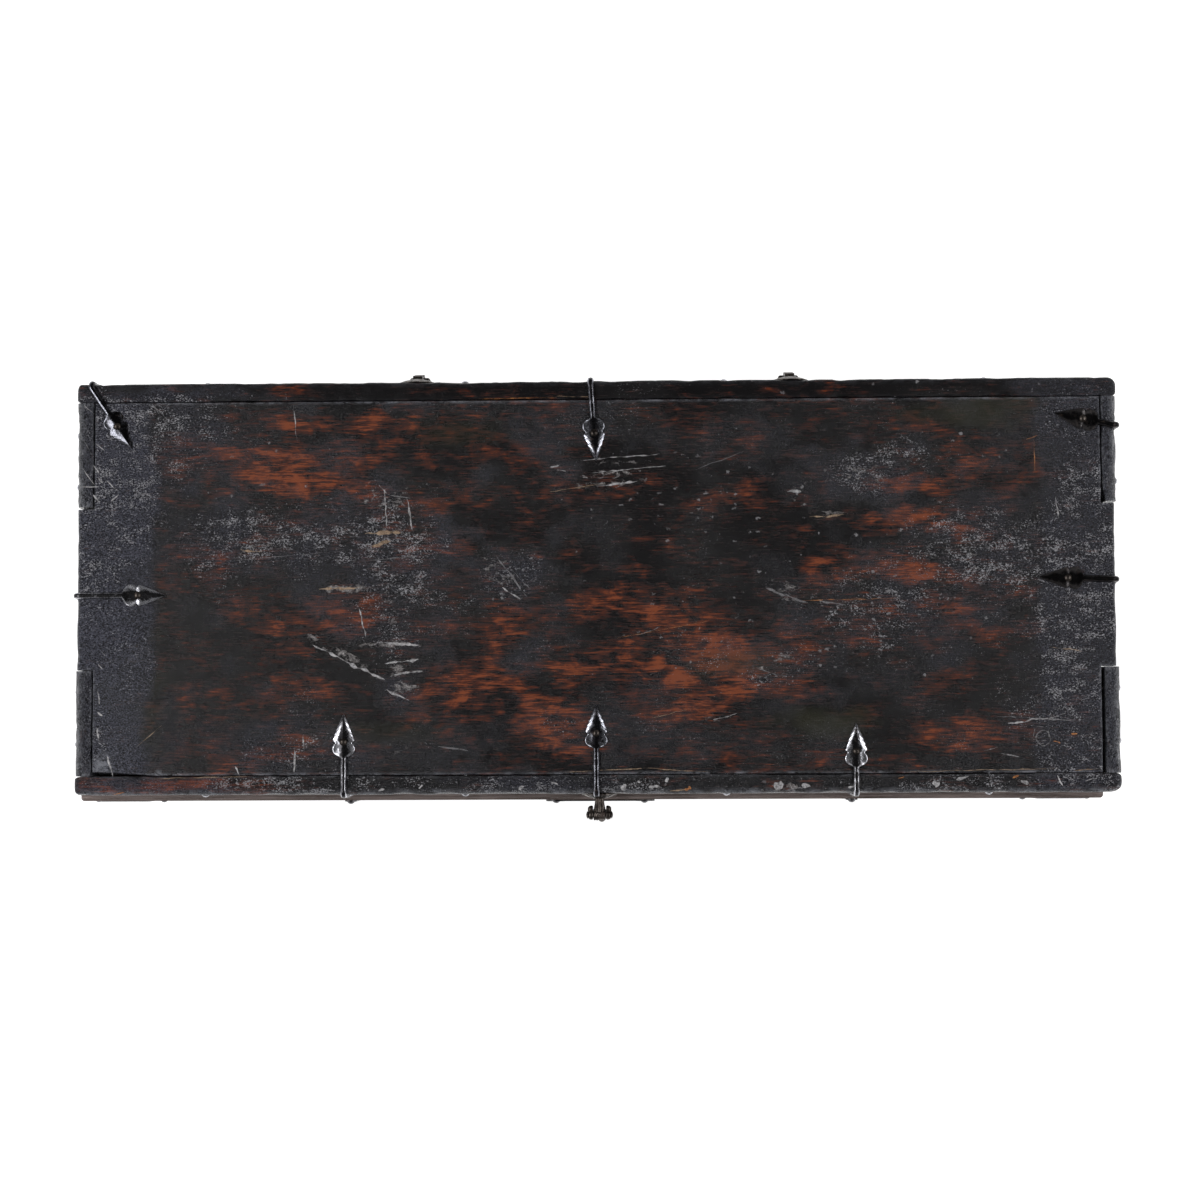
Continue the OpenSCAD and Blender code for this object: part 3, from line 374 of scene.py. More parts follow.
def wood_group():
    """Worn black lacquer over red-brown wood, with painted sheen, painted glints and a painted edge highlight
    of the lamps. The coordinates run with the grain along X. Each share of wear is added to streaky noise,
    and the sum picks the colour from lacquer to bare wood."""
    inputs = {"Coordinates": "Vector", **dict.fromkeys(WEAR_KINDS, "Float")}
    outputs = {"Colour": "Color", "Roughness": "Float", "Height": "Float"}
    tree, n, given, out = group("lacquer_over_wood", inputs, outputs)
    at = given["Coordinates"]
    # Grain: fine fibres, broader bands and clouds, all drawn out along the board
    fibres = n.noise(at, (46, 540, 540), 3.0, 0.7, 0.2)
    bands = n.noise(at, (20, 112, 112), 4.0, 0.68, 0.5)
    clouds = n.noise(at, (26, 44, 44), 4.0, 0.74, 0.7)
    streaks = (bands - 0.5) * 1.6 + (fibres - 0.5) * 3.0 + (clouds - 0.5) * 2.6
    worn = n.ramp(given["Bare"] + streaks * 0.84, 0.31, 1.26)
    colour = n.colours(worn, (0.0, (0.005, 0.0045, 0.005)), (0.2, (0.0095, 0.0068, 0.007)),
                       (0.42, (0.026, 0.0082, 0.006)), (0.66, (0.068, 0.0155, 0.0065)),
                       (0.97, (0.178, 0.039, 0.0105)))
    # Mossy tone, and a bluish painted sheen of the side lamps where the old lacquer has bloomed
    colour = n.mix(given["Green"] * 0.75, colour, (0.0175, 0.0172, 0.008))
    pebbles = n.noise(at, (500, 660, 660), 3.0, 0.72, 0.4)
    clusters = n.noise(at, (60, 95, 95), 3.0, 0.6)
    bloom = given["Bloom"] * n.ramp(pebbles, 0.42, 0.62, 0.1, 1.4)
    colour = n.mix(bloom * 0.66, colour, (0.096, 0.099, 0.13))
    # Grey specks in clusters where the lacquer is crazed: painted glints of the lamps on its relief
    crazed = given["Speckled"] * n.ramp(clusters, 0.34, 0.62, 0.25, 1.25)
    speck = n.ramp(pebbles - (0.71 - crazed * 0.15), 0.0, 0.07)
    colour = n.mix(speck * 0.85, colour, (0.36, 0.355, 0.375))
    # Flakes of old filler: larger, paler, some of them tan
    lumps = n.noise(n.stretch(at, (85, 150, 150), (0, 0, 0.35)), 1.0, 5.0, 0.75, 0.6)
    flake = n.ramp(lumps - (0.77 - given["Flaked"] * 0.33), -0.01, 0.06) * n.ramp(given["Flaked"], 0.02, 0.2)
    crust = n.colours(pebbles * 0.8 + clouds * 0.2, (0.36, (0.05, 0.047, 0.05)),
                      (0.5, (0.16, 0.148, 0.146)), (0.63, (0.4, 0.38, 0.38)))
    colour = n.mix(flake * 0.85, colour, crust)
    # Chips: rounded grey spots, in some cells of a pattern of cells
    shake = n.add("TexNoise", {"Vector": at, "Scale": 320.0}, 1)
    shaken = n.vector_math("ADD", n.stretch(at, (115, 165, 165)), shake)
    cells = {"Vector": shaken, "Scale": 1.0, "Randomness": 1.0}
    depth, tint = n.add("TexVoronoi", cells, ("Distance", "Color"))
    chance, size, pale = n.add("SeparateColor", {"Color": tint}, (0, 1, 2))
    picked = n.math("LESS_THAN", chance, given["Chips"] * 0.42)
    chip = n.ramp(size * 0.17 + 0.13 - depth, -0.03, 0.06) * picked
    colour = n.mix(chip * (pale * 0.5 + 0.35), colour, (0.2, 0.195, 0.205))
    # Edges rubbed down to a grey polish, painted lighter still as a highlight where the lamps glint on them
    rub = given["Rubbed"] * n.ramp(pebbles * 0.4 + lumps * 0.6, 0.42, 0.56)
    colour = n.mix(rub * 0.75, colour, (0.19, 0.195, 0.22))
    roughness = worn * 0.2 + 0.25 + n.math("MAXIMUM", flake, chip) * 0.15 - rub * 0.14
    height = (pebbles - 0.5) * (crazed + given["Bloom"] * 1.6 + 0.6) + fibres * 0.2 + clusters * 0.6
    height = height + flake * lumps * 1.3 + chip * 0.3
    for label, value in (("Colour", colour), ("Roughness", roughness), ("Height", height)):
        n.put(value, out[label])
    return tree


def box_group(name, share_of, *sizes):
    """A share that follows how deep a point lies in a box, worked out from its distances along the three
    axes."""
    vectors = dict.fromkeys(("Coordinates", "Low", "High"), "Vector")
    tree, n, given, out = group(name, {**vectors, **dict.fromkeys(sizes, "Float")}, {"Share": "Float"})
    near = n.vector_math("MINIMUM", n.vector_math("SUBTRACT", given["Coordinates"], given["Low"]),
                         n.vector_math("SUBTRACT", given["High"], given["Coordinates"]))
    depths = n.add("SeparateXYZ", {"Vector": near}, (0, 1, 2))
    n.put(share_of(n, *depths, *(given[label] for label in sizes)), out["Share"])
    return tree


def near_edge(n, x, y, z, width):
    """1 on an edge of a board, 0 past the width. On a face one of the three distances is 0, so the middle
    one of the three is the distance to the edge."""
    middle = n.math("MAXIMUM", n.math("MINIMUM", x, y), n.math("MINIMUM", n.math("MAXIMUM", x, y), z))
    return n.ramp(n.math("DIVIDE", middle, width), 1.0, 0.0)


def within(n, x, y, z):
    """1 in the box, 0 outside it."""
    return n.math("GREATER_THAN", n.math("MINIMUM", n.math("MINIMUM", x, y), z), 0.0)


WOOD, EDGE, WITHIN = wood_group(), box_group("near_edge", near_edge, "Width"), box_group("within_box", within)
# Turns that lay the grain along an axis
GRAIN = {"X": (0, 0, 0), "Y": (0, 0, RIGHT_ANGLE), "Z": (0, RIGHT_ANGLE, 0)}
# Width and strength of the wear along a board's edges; the rubbed share there is partly a painted highlight
EDGE_WEAR = {"Rubbed": (4 * MM, 1.1), "Bare": (16 * MM, 0.3)}


def principled(name, specular=0.3, metallic=0.0):
    """A new material with its shader; gives the material, its Nodes and the shader."""
    material = bpy.data.materials.new(name)
    material.use_nodes = True
    n, shader = Nodes(material.node_tree), material.node_tree.nodes["Principled BSDF"]
    shader.inputs["Specular IOR Level"].default_value = specular
    shader.inputs["Metallic"].default_value = metallic
    return material, n, shader


def lacquered(name, along="X", shift=0.0, relief=1.0, drift=0.0, edges=None, raw=(), shine=0.42, **shares):
    """Lacquered wood with its grain along one axis. The shares of each kind of wear come from the piece's
    own attributes of the same names where it has them, and are added to the values given here. Drift lets
    the wear come and go over a hand's breadth; edges is the box of a board whose edges are rubbed; raw is a
    list of boxes in which the wood was never lacquered."""
    material, n, shader = principled(name, shine)
    place = n.place()
    at = n.stretch(place, (1, 1, 1), GRAIN[along], (shift, shift, shift))
    given = {"Coordinates": at}
    for k, label in enumerate(WEAR_KINDS):
        share = n.add("Attribute", {}, "Fac", attribute_name=label.lower()) + shares.get(label.lower(), 0.0)
        if drift and label in ("Bare", "Speckled", "Flaked"):
            cloud = n.noise(n.stretch(at, (3.1, 7.3, 7.3), shift=(k, k, k)), 1.0, 3.0)
            share = share + (cloud - 0.5) * (3.2 * drift)
        if edges and label in EDGE_WEAR:
            width, strength = EDGE_WEAR[label]
            sides = {"Coordinates": place, "Low": edges[0], "High": edges[1], "Width": width}
            share = share + n.add("Group", sides, node_tree=EDGE) * strength
        given[label] = share
    colour, roughness, height = n.add("Group", given, ("Colour", "Roughness", "Height"), node_tree=WOOD)
    for low, high in raw:
        inside = n.add("Group", {"Coordinates": place, "Low": low, "High": high}, node_tree=WITHIN)
        tone = n.colours(n.noise(at, (12, 330, 330), 5.0, 0.7), (0.35, (0.085, 0.064, 0.057)),
                         (0.65, (0.27, 0.215, 0.2)))
        colour = n.mix(inside, colour, tone)
    n.surface(shader, colour, roughness, height, relief * MM)
    return material


def raw_wood(name, along="X"):
    """Bare sawn wood, brown-grey with darker fibres and dirt."""
    material, n, shader = principled(name, 0.15)
    at = n.stretch(n.place(), (1, 1, 1), GRAIN[along])
    fibres = n.noise(at, (8, 330, 330), 6.0, 0.7)
    bands = n.noise(at, (3, 34, 34), 4.0, 0.6, 0.8)
    wood = n.colours(fibres * 0.45 + bands * 0.55, (0.3, (0.06, 0.036, 0.022)), (0.5, (0.15, 0.095, 0.058)),
                     (0.7, (0.26, 0.18, 0.115)))
    wood = n.mix(n.ramp(n.noise(at, 14.0, 5.0, 0.65), 0.45, 0.7, 0, 0.7), wood, (0.05, 0.035, 0.026))
    n.surface(shader, wood, n.ramp(fibres, 0.3, 0.7, 0.6, 0.85), fibres, 0.6 * MM)
    return material


def forged(name, dark, bright, rust, roughness, soft=0.1):
    """Forged iron: dark scale, rubbed bright on its hammer marks, with rust in its hollows. Soft is how
    slowly the one goes over into the other. The rim attribute, where a piece has it, lightens or darkens the
    tone as painted highlight and painted shade."""
    material, n, shader = principled(name, 0.5, 0.95)
    at = n.place()
    hammer = n.noise(at, 130.0, 2.0, 0.5)
    scale = n.noise(at, 620.0, 4.0, 0.7)
    # rim: painted highlight lines and painted shade written by the straps' rings
    rim = n.add("Attribute", {}, "Fac", attribute_name="rim")
    between = tuple(0.5 * (a + b) for a, b in zip(dark, bright))
    tone = n.colours(hammer * 0.55 + scale * 0.45 + rim * 0.22, (0.45 - soft, dark), (0.46, between),
                     (0.46 + soft, bright))
    rusted = n.ramp(n.noise(at, 110.0, 5.0, 0.65), 0.66 - 0.16 * rust, 0.76)
    tone = n.mix(rusted * 0.75, tone, (0.04, 0.02, 0.011))
    n.put(0.95 - rusted * 0.6, shader.inputs["Metallic"])
    rougher = n.math("ADD", n.ramp(scale, 0.3, 0.7, roughness - 0.06, roughness + 0.14), rusted * 0.3, True)
    n.surface(shader, tone, rougher, hammer * 0.8 + scale * 0.2, 0.35 * MM)
    return material


def filler(name, low, high):
    """Old filler and scraped varnish: a pale crust whose tone breaks up from grain to grain."""
    material, n, shader = principled(name, 0.5)
    at = n.place()
    grain, broad = n.noise(at, 420.0, 3.0, 0.7), n.noise(at, 60.0, 3.0, 0.6)
    tone = n.colours(grain * 0.65 + broad * 0.35, (0.38, low), (0.6, high))
    n.surface(shader, tone, 0.36, grain, 0.6 * MM)
    return material


# Boxes in which the wood is raw: inside the chest, the boards' top edges, and under the lid up to a height.
# FAR is past everything, and SKIN lets a box reach a little into the faces at its rim.
FAR, SKIN, LID_RAW_TOP = 2.0, 0.6 * MM, 0.525
WELL = ((box("end_board_left")[1][0] - 0.2 * MM, box("front_board")[1][1] - 0.2 * MM, -FAR),
        (box("end_board_right")[0][0] + 0.2 * MM, box("back_board")[0][1] + 0.2 * MM, FAR))
BRIM = {name: ((-FAR, -FAR, box(name)[1][2] - SKIN), (FAR, FAR, FAR))
        for name in ("front_board", "end_board_left")}
UNDERSIDE = ((-FAR, -FAR, -FAR), (FAR, FAR, box("lid_plank")[0][2] + 1 * MM))
LID_WELL = ((-FAR, box("lid_rail_front")[1][1] - SKIN, -FAR),
            (FAR, box("lid_rail_back")[0][1] + SKIN, LID_RAW_TOP))
PLANK = lacquered("lacquer_plank", raw=[UNDERSIDE], shine=0.28)
RAIL = {"front": lacquered("lacquer_rail_front", shift=0.37, relief=1.5, raw=[LID_WELL], shine=0.3, bare=0.16,
                           speckled=0.2, bloom=0.05),
        "back": lacquered("lacquer_rail_back", shift=0.37, relief=0.9, raw=[LID_WELL], shine=0.16, bare=0.14,
                          speckled=0.1)}
# The returns' strong bloom, speckled and rubbed shares are largely painted sheen, painted glints and a
# painted edge highlight of the side lamps
RETURN = lacquered("lacquer_return", "Y", shift=0.61, relief=3.1, shine=0.62, bare=0.08, speckled=0.8,
                   flaked=0.12, bloom=0.85, rubbed=0.24)
BODY = {}
for k, name in enumerate(("front_board", "back_board", "end_board_left", "end_board_right")):
    end = name.startswith("end")
    BODY[name] = lacquered("lacquer_" + name, "Y" if end else "X", 1.13 + 0.4 * k, edges=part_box(name),
                           raw=[WELL, BRIM["end_board_left" if end else "front_board"]],
                           shine=0.2 if end else 0.42, relief=1.3, drift=0.45, bare=0.4, speckled=0.45,
                           flaked=0.02, bloom=0.15, chips=0.12)
PLINTHS = ("plinth_front", "plinth_back", "plinth_left", "plinth_right")
PLINTH = {name: lacquered("lacquer_" + name, "X" if k < 2 else "Y", 2.7 + 0.4 * k, edges=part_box(name),
                          relief=1.3, drift=0.3, bare=0.36, speckled=0.6, flaked=0.12, bloom=0.1, chips=0.25)
          for k, name in enumerate(PLINTHS)}
# The pale filler also paints glints and streaks of lamp light at the plank's left end
FILLERS = {"pale": filler("pale_filler", (0.07, 0.067, 0.07), (0.42, 0.41, 0.42)),
           "tan": filler("tan_filler", (0.08, 0.05, 0.03), (0.34, 0.24, 0.16)),
           "orange": filler("fresh_scratch", (0.1, 0.03, 0.01), (0.42, 0.17, 0.05)),
           "smoke": filler("grey_scratch", (0.03, 0.028, 0.03), (0.2, 0.195, 0.205))}
# Irons: the colour of their scale, the colour where they are rubbed, rust and roughness
IRON = forged("forged_iron", (0.04, 0.039, 0.042), (0.5, 0.5, 0.54), 0.35, 0.24)
# Darker copies of the forged iron, for lid straps that face away from the lamps: painted shade
DIM_IRON = forged("dim_iron", (0.025, 0.024, 0.028), (0.27, 0.275, 0.31), 0.35, 0.22)
SKEW_IRON = forged("skew_iron", (0.014, 0.0135, 0.015), (0.12, 0.122, 0.14), 0.4, 0.24)
BLACK_IRON = forged("black_iron", (0.01, 0.0095, 0.01), (0.07, 0.065, 0.066), 0.5, 0.3)
DARK_IRON = forged("dark_iron", (0.012, 0.0095, 0.0085), (0.088, 0.075, 0.067), 0.8, 0.33)
BODY_IRON = forged("body_iron", (0.03, 0.029, 0.031), (0.24, 0.24, 0.255), 0.5, 0.3, 0.16)
PLATE_IRON = forged("plate_iron", (0.026, 0.024, 0.024), (0.13, 0.127, 0.13), 0.6, 0.36, 0.2)
LOCK_IRON = forged("lock_iron", (0.2, 0.19, 0.18), (0.5, 0.49, 0.48), 0.2, 0.3)


# The lid's plank

PLANK_RADIUS, SEAM_RADIUS = 5 * MM, 1.1 * MM
# How far the crazed ends of the plank reach, and how much that comes and goes
CRAZED_END, CRAZED_WAVE = 92 * MM, 12 * MM
PLANK_LOW, PLANK_HIGH = box("lid_plank")
# Gaps that the shrunken plank leaves to each return, in millimetres: across its length and past its end
RETURN_GAPS = {"front_left": (0.8, 0.7), "front_right": (3.6, 0.8), "back_left": (1.2, 2.8),
               "back_right": (1, 2.2)}

WORN_RED = patches(
    (290, 468, 56, 26, 1, 8), (222, 448, 40, 10, 0.7), (355, 455, 46, 18, 0.7), (350, 419, 60, 10, 1.25),
    (180, 458, 36, 18, 0.35), (430, 500, 45, 20, 0.6, 10), (480, 450, 50, 18, 0.35),
    (410, 560, 50, 14, 0.4), (335, 605, 32, 16, 0.75, 10), (470, 690, 50, 30, 0.95, 10),
    (555, 714, 36, 30, 1.4), (490, 632, 60, 16, 0.35, 5), (618, 602, 30, 24, 1.1), (680, 630, 50, 34, 0.8),
    (640, 660, 60, 26, 0.8, 20), (690, 702, 60, 26, 0.95), (240, 640, 90, 30, 0.5),
    (200, 695, 60, 18, 0.45), (290, 685, 46, 16, 0.75), (190, 560, 60, 30, 0.35), (730, 445, 40, 14, 0.55),
    (692, 592, 30, 9, 0.9), (745, 500, 60, 22, 0.45), (600, 480, 80, 20, 0.25), (900, 520, 70, 16, 1.1),
    (920, 488, 46, 12, 0.65), (875, 570, 60, 24, 0.85), (915, 576, 52, 16, 1.5), (900, 425, 30, 8, 0.3),
    (985, 475, 30, 14, 0.45), (960, 735, 50, 16, 0.95), (930, 690, 46, 14, 0.5, 20),
    (870, 640, 70, 20, 0.65), (780, 645, 60, 24, 0.75), (1008, 636, 30, 18, 1.2), (820, 692, 60, 12, 0.7),
    (280, 750, 90, 14, 0.5), (1020, 600, 20, 14, 0.45), (560, 745, 50, 12, 0.5), (790, 760, 60, 8, 0.4),
    (718, 664, 58, 30, 1.3), (350, 622, 40, 12, 0.6), (212, 706, 34, 10, 0.5), (930, 610, 60, 24, 0.6),
    (845, 600, 60, 22, 0.6), (560, 672, 34, 18, 0.9))
SCUFFS = patches(
    (395, 500, 34, 22, 0.75), (385, 530, 40, 18, 0.7), (340, 588, 30, 6, 0.95), (385, 610, 30, 26, 0.6),
    (385, 645, 40, 5, 0.9), (345, 655, 36, 6, 0.9, -28), (400, 668, 30, 9, 1, 12),
    (405, 690, 22, 10, 0.9, 5), (250, 540, 46, 14, 0.55), (205, 520, 34, 14, 0.4),
    (505, 575, 30, 18, 0.7, -35), (520, 600, 12, 16, 0.6, -35), (625, 462, 46, 4, 1),
    (618, 473, 50, 5, 0.9, 5), (610, 484, 44, 5, 0.9, 5), (630, 636, 36, 4, 0.9, 14),
    (600, 415, 50, 16, 0.35), (860, 478, 50, 16, 0.75), (800, 500, 16, 14, 0.7), (838, 516, 22, 4, 1),
    (785, 590, 40, 9, 0.75, -18), (820, 605, 34, 8, 0.6, -10), (790, 660, 34, 9, 0.85),
    (760, 675, 26, 7, 0.7, 12), (900, 600, 50, 26, 0.45), (970, 570, 60, 40, 0.5), (980, 640, 50, 30, 0.45),
    (1040, 740, 26, 14, 0.5), (715, 720, 30, 7, 0.6, 12), (860, 730, 30, 10, 0.4),
    (300, 730, 30, 30, 0.35, 80), (400, 750, 24, 12, 0.6, 30), (560, 735, 30, 20, 0.3),
    (150, 420, 40, 20, 0.3), (1045, 520, 40, 20, 0.35), (960, 700, 20, 26, 0.35, 40))
GREENS = patches(
    (830, 725, 50, 16, 1), (980, 410, 60, 18, 0.8), (120, 700, 40, 60, 0.5), (460, 430, 40, 14, 0.5),
    (745, 665, 40, 14, 0.6), (360, 735, 80, 10, 0.4))
CHIPPED = patches(
    (700, 500, 90, 50, 0.8), (880, 600, 110, 60, 0.9), (740, 600, 90, 50, 0.5), (960, 480, 60, 40, 0.5),
    (540, 590, 60, 50, 0.35), (250, 480, 60, 60, 0.3))
# Crazed patches, which carry the painted glint specks and some of the painted sheen
CRAZED = patches(
    (290, 540, 120, 36, 0.9), (390, 540, 50, 40, 1), (180, 540, 60, 40, 0.7), (400, 600, 50, 50, 0.8),
    (230, 430, 50, 30, 0.5), (340, 455, 30, 16, 0.7), (870, 470, 60, 24, 1), (760, 440, 40, 20, 0.5),
    (1000, 560, 80, 70, 0.9), (900, 620, 90, 40, 0.7), (510, 580, 40, 30, 0.7), (140, 470, 50, 60, 0.7),
    (280, 750, 110, 22, 0.7), (430, 750, 60, 22, 0.5), (800, 670, 70, 24, 0.6), (700, 745, 120, 20, 0.35),
    (1060, 700, 50, 60, 0.6), (620, 730, 70, 26, 0.5), (480, 400, 70, 12, 0.4), (590, 420, 70, 20, 0.5))
# Painted sheen: pale bluish patches of reflected lamp light near the front left corner, added to the rubbed
# share
SHEEN = patches(
    (101, 768, 9, 14, 1.5, -12), (97, 772, 8, 9, 1.5), (158, 778, 4, 7, 1.2))
HOLLOWS = patches(
    (395, 495, 14, 16, 1), (390, 600, 26, 20, 0.6), (400, 670, 20, 12, 0.8), (800, 500, 12, 14, 0.8),
    (790, 595, 30, 10, 0.8), (515, 580, 22, 22, 0.5))


def notch(name):
    """Range in x and range in y of the notch that the plank leaves for a return; it is open outwards."""
    low, high = box("lid_return_" + name)
    across, past = (gap * MM for gap in RETURN_GAPS[name])
    x = (-FAR, high[0] + across) if "left" in name else (low[0] - across, FAR)
    y = (-FAR, high[1] + past) if "front" in name else (low[1] - past, FAR)
    return x, y


NOTCHES = [notch(name) for name in RETURN_GAPS]


def in_notch(x, y):
    """True at points in a notch."""
    return np.any([(x > x0) & (x < x1) & (y > y0) & (y < y1) for (x0, x1), (y0, y1) in NOTCHES], axis=0)


def edge_distances(x, y):
    """Distance to the plank's free ends, and distance to its seams, which run along its sides and its
    notches."""
    seam = np.minimum(y - PLANK_LOW[1], PLANK_HIGH[1] - y)
    for along, across in NOTCHES:
        seam = np.minimum(seam, np.hypot(outside(x, *along), outside(y, *across)))
    return np.minimum(x - PLANK_LOW[0], PLANK_HIGH[0] - x), seam


def plank_top(x, y):
    """Height of the plank's top: its free ends and seams rounded by quarter circles, a slow warp, planed
    waves, hollows at the big scuffs and a pebbled old finish towards the ends."""
    free, seam = edge_distances(x, y)
    still = np.clip(np.minimum(free, seam) / (6 * MM), 0, 1)
    z = PLANK_HIGH[2] - rounding(free, PLANK_RADIUS) - rounding(seam, SEAM_RADIUS) - 0.5 * MM
    z = z - (0.35 * rough(x * 0.35, y, 0.06, 3) + 0.9 * spots(x, y, HOLLOWS)) * MM * still
    z = z + 0.22 * MM * rough(x * 0.8, y, 0.008, 9, 2) * (0.25 + fade(free, 0.09)) * still
    nicks = np.clip(rough(x, y, 0.014, 31) - 0.15, 0, 1)
    return z - (1.6 * fade(free, 7 * MM) + 0.5 * fade(seam, 3 * MM)) * MM * nicks


def clustered(axis, sides):
    """Places across the plank in even steps, with more of them close to its two sides and to the notches'
    sides."""
    low, high = PLANK_LOW[axis], PLANK_HIGH[axis]
    step, near = 2.7 * MM, np.array([0, 0.15, 0.4, 0.8, 1.5, 2.6, 4.2]) * MM
    every = [np.linspace(low, high, int(round((high - low) / step)) + 1)]
    for line in (low, high, *(a if a > -FAR else b for a, b in sides)):
        every += [line - near, line + near]
    every = np.concatenate(every)
    every = np.unique(np.round(every[(every >= low - 1e-9) & (every <= high + 1e-9)], 6))
    return every[np.append(True, np.diff(every) > 0.1 * MM)]


def build_plank():
    """The plank: a height field over its outline, cut out cell by cell, with walls straight down and a flat
    underside."""
    xs, ys = (clustered(axis, [sides[axis] for sides in NOTCHES]) for axis in (0, 1))
    x, y = np.meshgrid(xs, ys, indexing="ij")
    # The free ends are worn to a wavy line
    wave = 1.3 * MM * (0.6 + 0.6 * rough(y, 0 * y, 0.03, 51, 4))
    moved = x + (fade(x - PLANK_LOW[0], 0.03) - fade(PLANK_HIGH[0] - x, 0.03)) * wave
    # A wedge has gone from the front seam near the left end, at the top
    wedge = 4.5 * MM * np.clip((on_lid(155, 0)[0] - x) / 0.065, 0, 1) * fade(y - PLANK_LOW[1], 0.03)
    points = np.stack([points_of(moved, y + wedge, plank_top(x, y)), points_of(moved, y, PLANK_LOW[2])])
    # Faces of the top, without the cells in a notch
    middles = np.meshgrid((xs[1:] + xs[:-1]) / 2, (ys[1:] + ys[:-1]) / 2, indexing="ij")
    i, j = np.nonzero(~in_notch(*middles))
    index = np.arange(x.size).reshape(x.shape)
    quads = np.stack([index[i, j], index[i + 1, j], index[i + 1, j + 1], index[i, j + 1]], -1)
    # Walls under the sides that only one face has
    first, second = quads.ravel(), np.roll(quads, -1, 1).ravel()
    rim = ~np.isin(first * x.size + second, second * x.size + first)
    first, second = first[rim], second[rim]
    walls = np.stack([second, first, first + x.size, second + x.size], -1)
    # The underside is one face round the feet of the walls
    follow = dict(zip(walls[:, 2].tolist(), walls[:, 3].tolist()))
    foot = [int(walls[0, 2])]
    while len(foot) < len(walls):
        foot.append(follow[foot[-1]])
    used = np.unique(np.concatenate([quads, walls]))
    number = np.zeros(2 * x.size, int)
    number[used] = np.arange(len(used))
    faces = number[quads].tolist() + number[walls].tolist() + [number[foot].tolist()]
    piece = finish_mesh("worn_plank", points.reshape(-1, 3)[used], faces, "lid", ["lid_plank"], PLANK,
                        sharp=50)
    paint_plank(piece.data)


def paint_plank(mesh):
    """Writes the shares of each kind of wear over the plank into its attributes."""
    x, y, _ = places_of(mesh).T
    free, seam = edge_distances(x, y)
    # Both ends are crazed up to a wavy border, and there a bluish painted sheen of the lamps goes, stronger
    # at the left end
    border = CRAZED_END + CRAZED_WAVE * np.clip(rough(x, y, 0.07, 73) - 0.2, -1, 1)
    ends = np.clip((border - free) / (10 * MM), 0, 1) * (0.6 + 0.4 * fade(free, 0.07, 1.2))
    ends = ends + 0.25 * rough(x, y, 0.05, 71)
    dull = np.clip(ends, 0, 1)
    bare = 0.33 + 0.58 * spots(x, y, WORN_RED, 0.6) + 0.16 * rough(x, y * 2, 0.12, 91) - 0.35 * dull
    specks = 0.2 + 0.35 * rough(x, y, 0.09, 81) + 0.85 * spots(x, y, CRAZED, 0.6, 55) + 0.7 * ends
    # Seams and ends rubbed, and painted lighter there as a highlight
    edges = fade(np.minimum(free, seam), 3.2 * MM, 1.1)
    edges = edges * np.clip(0.75 + 0.6 * rough(x, y, 0.012, 77), 0, 1.2)
    bloom = dull * np.where(x < 0, 1.25, 0.5) + 0.27 * spots(x, y, CRAZED, 0.8, 45)
    shares = {"bare": np.clip(bare, 0, 1.1), "flaked": spots(x, y, SCUFFS, 0.45, 15),
              "speckled": np.clip(specks, 0, 1.15), "green": spots(x, y, GREENS, 0.4, 25),
              "chips": spots(x, y, CHIPPED, 0.5, 35), "rubbed": edges + spots(x, y, SHEEN, 0.12),
              "bloom": np.clip(bloom, 0, 1)}
    for label, share in shares.items():
        write_shares(mesh, label, share)
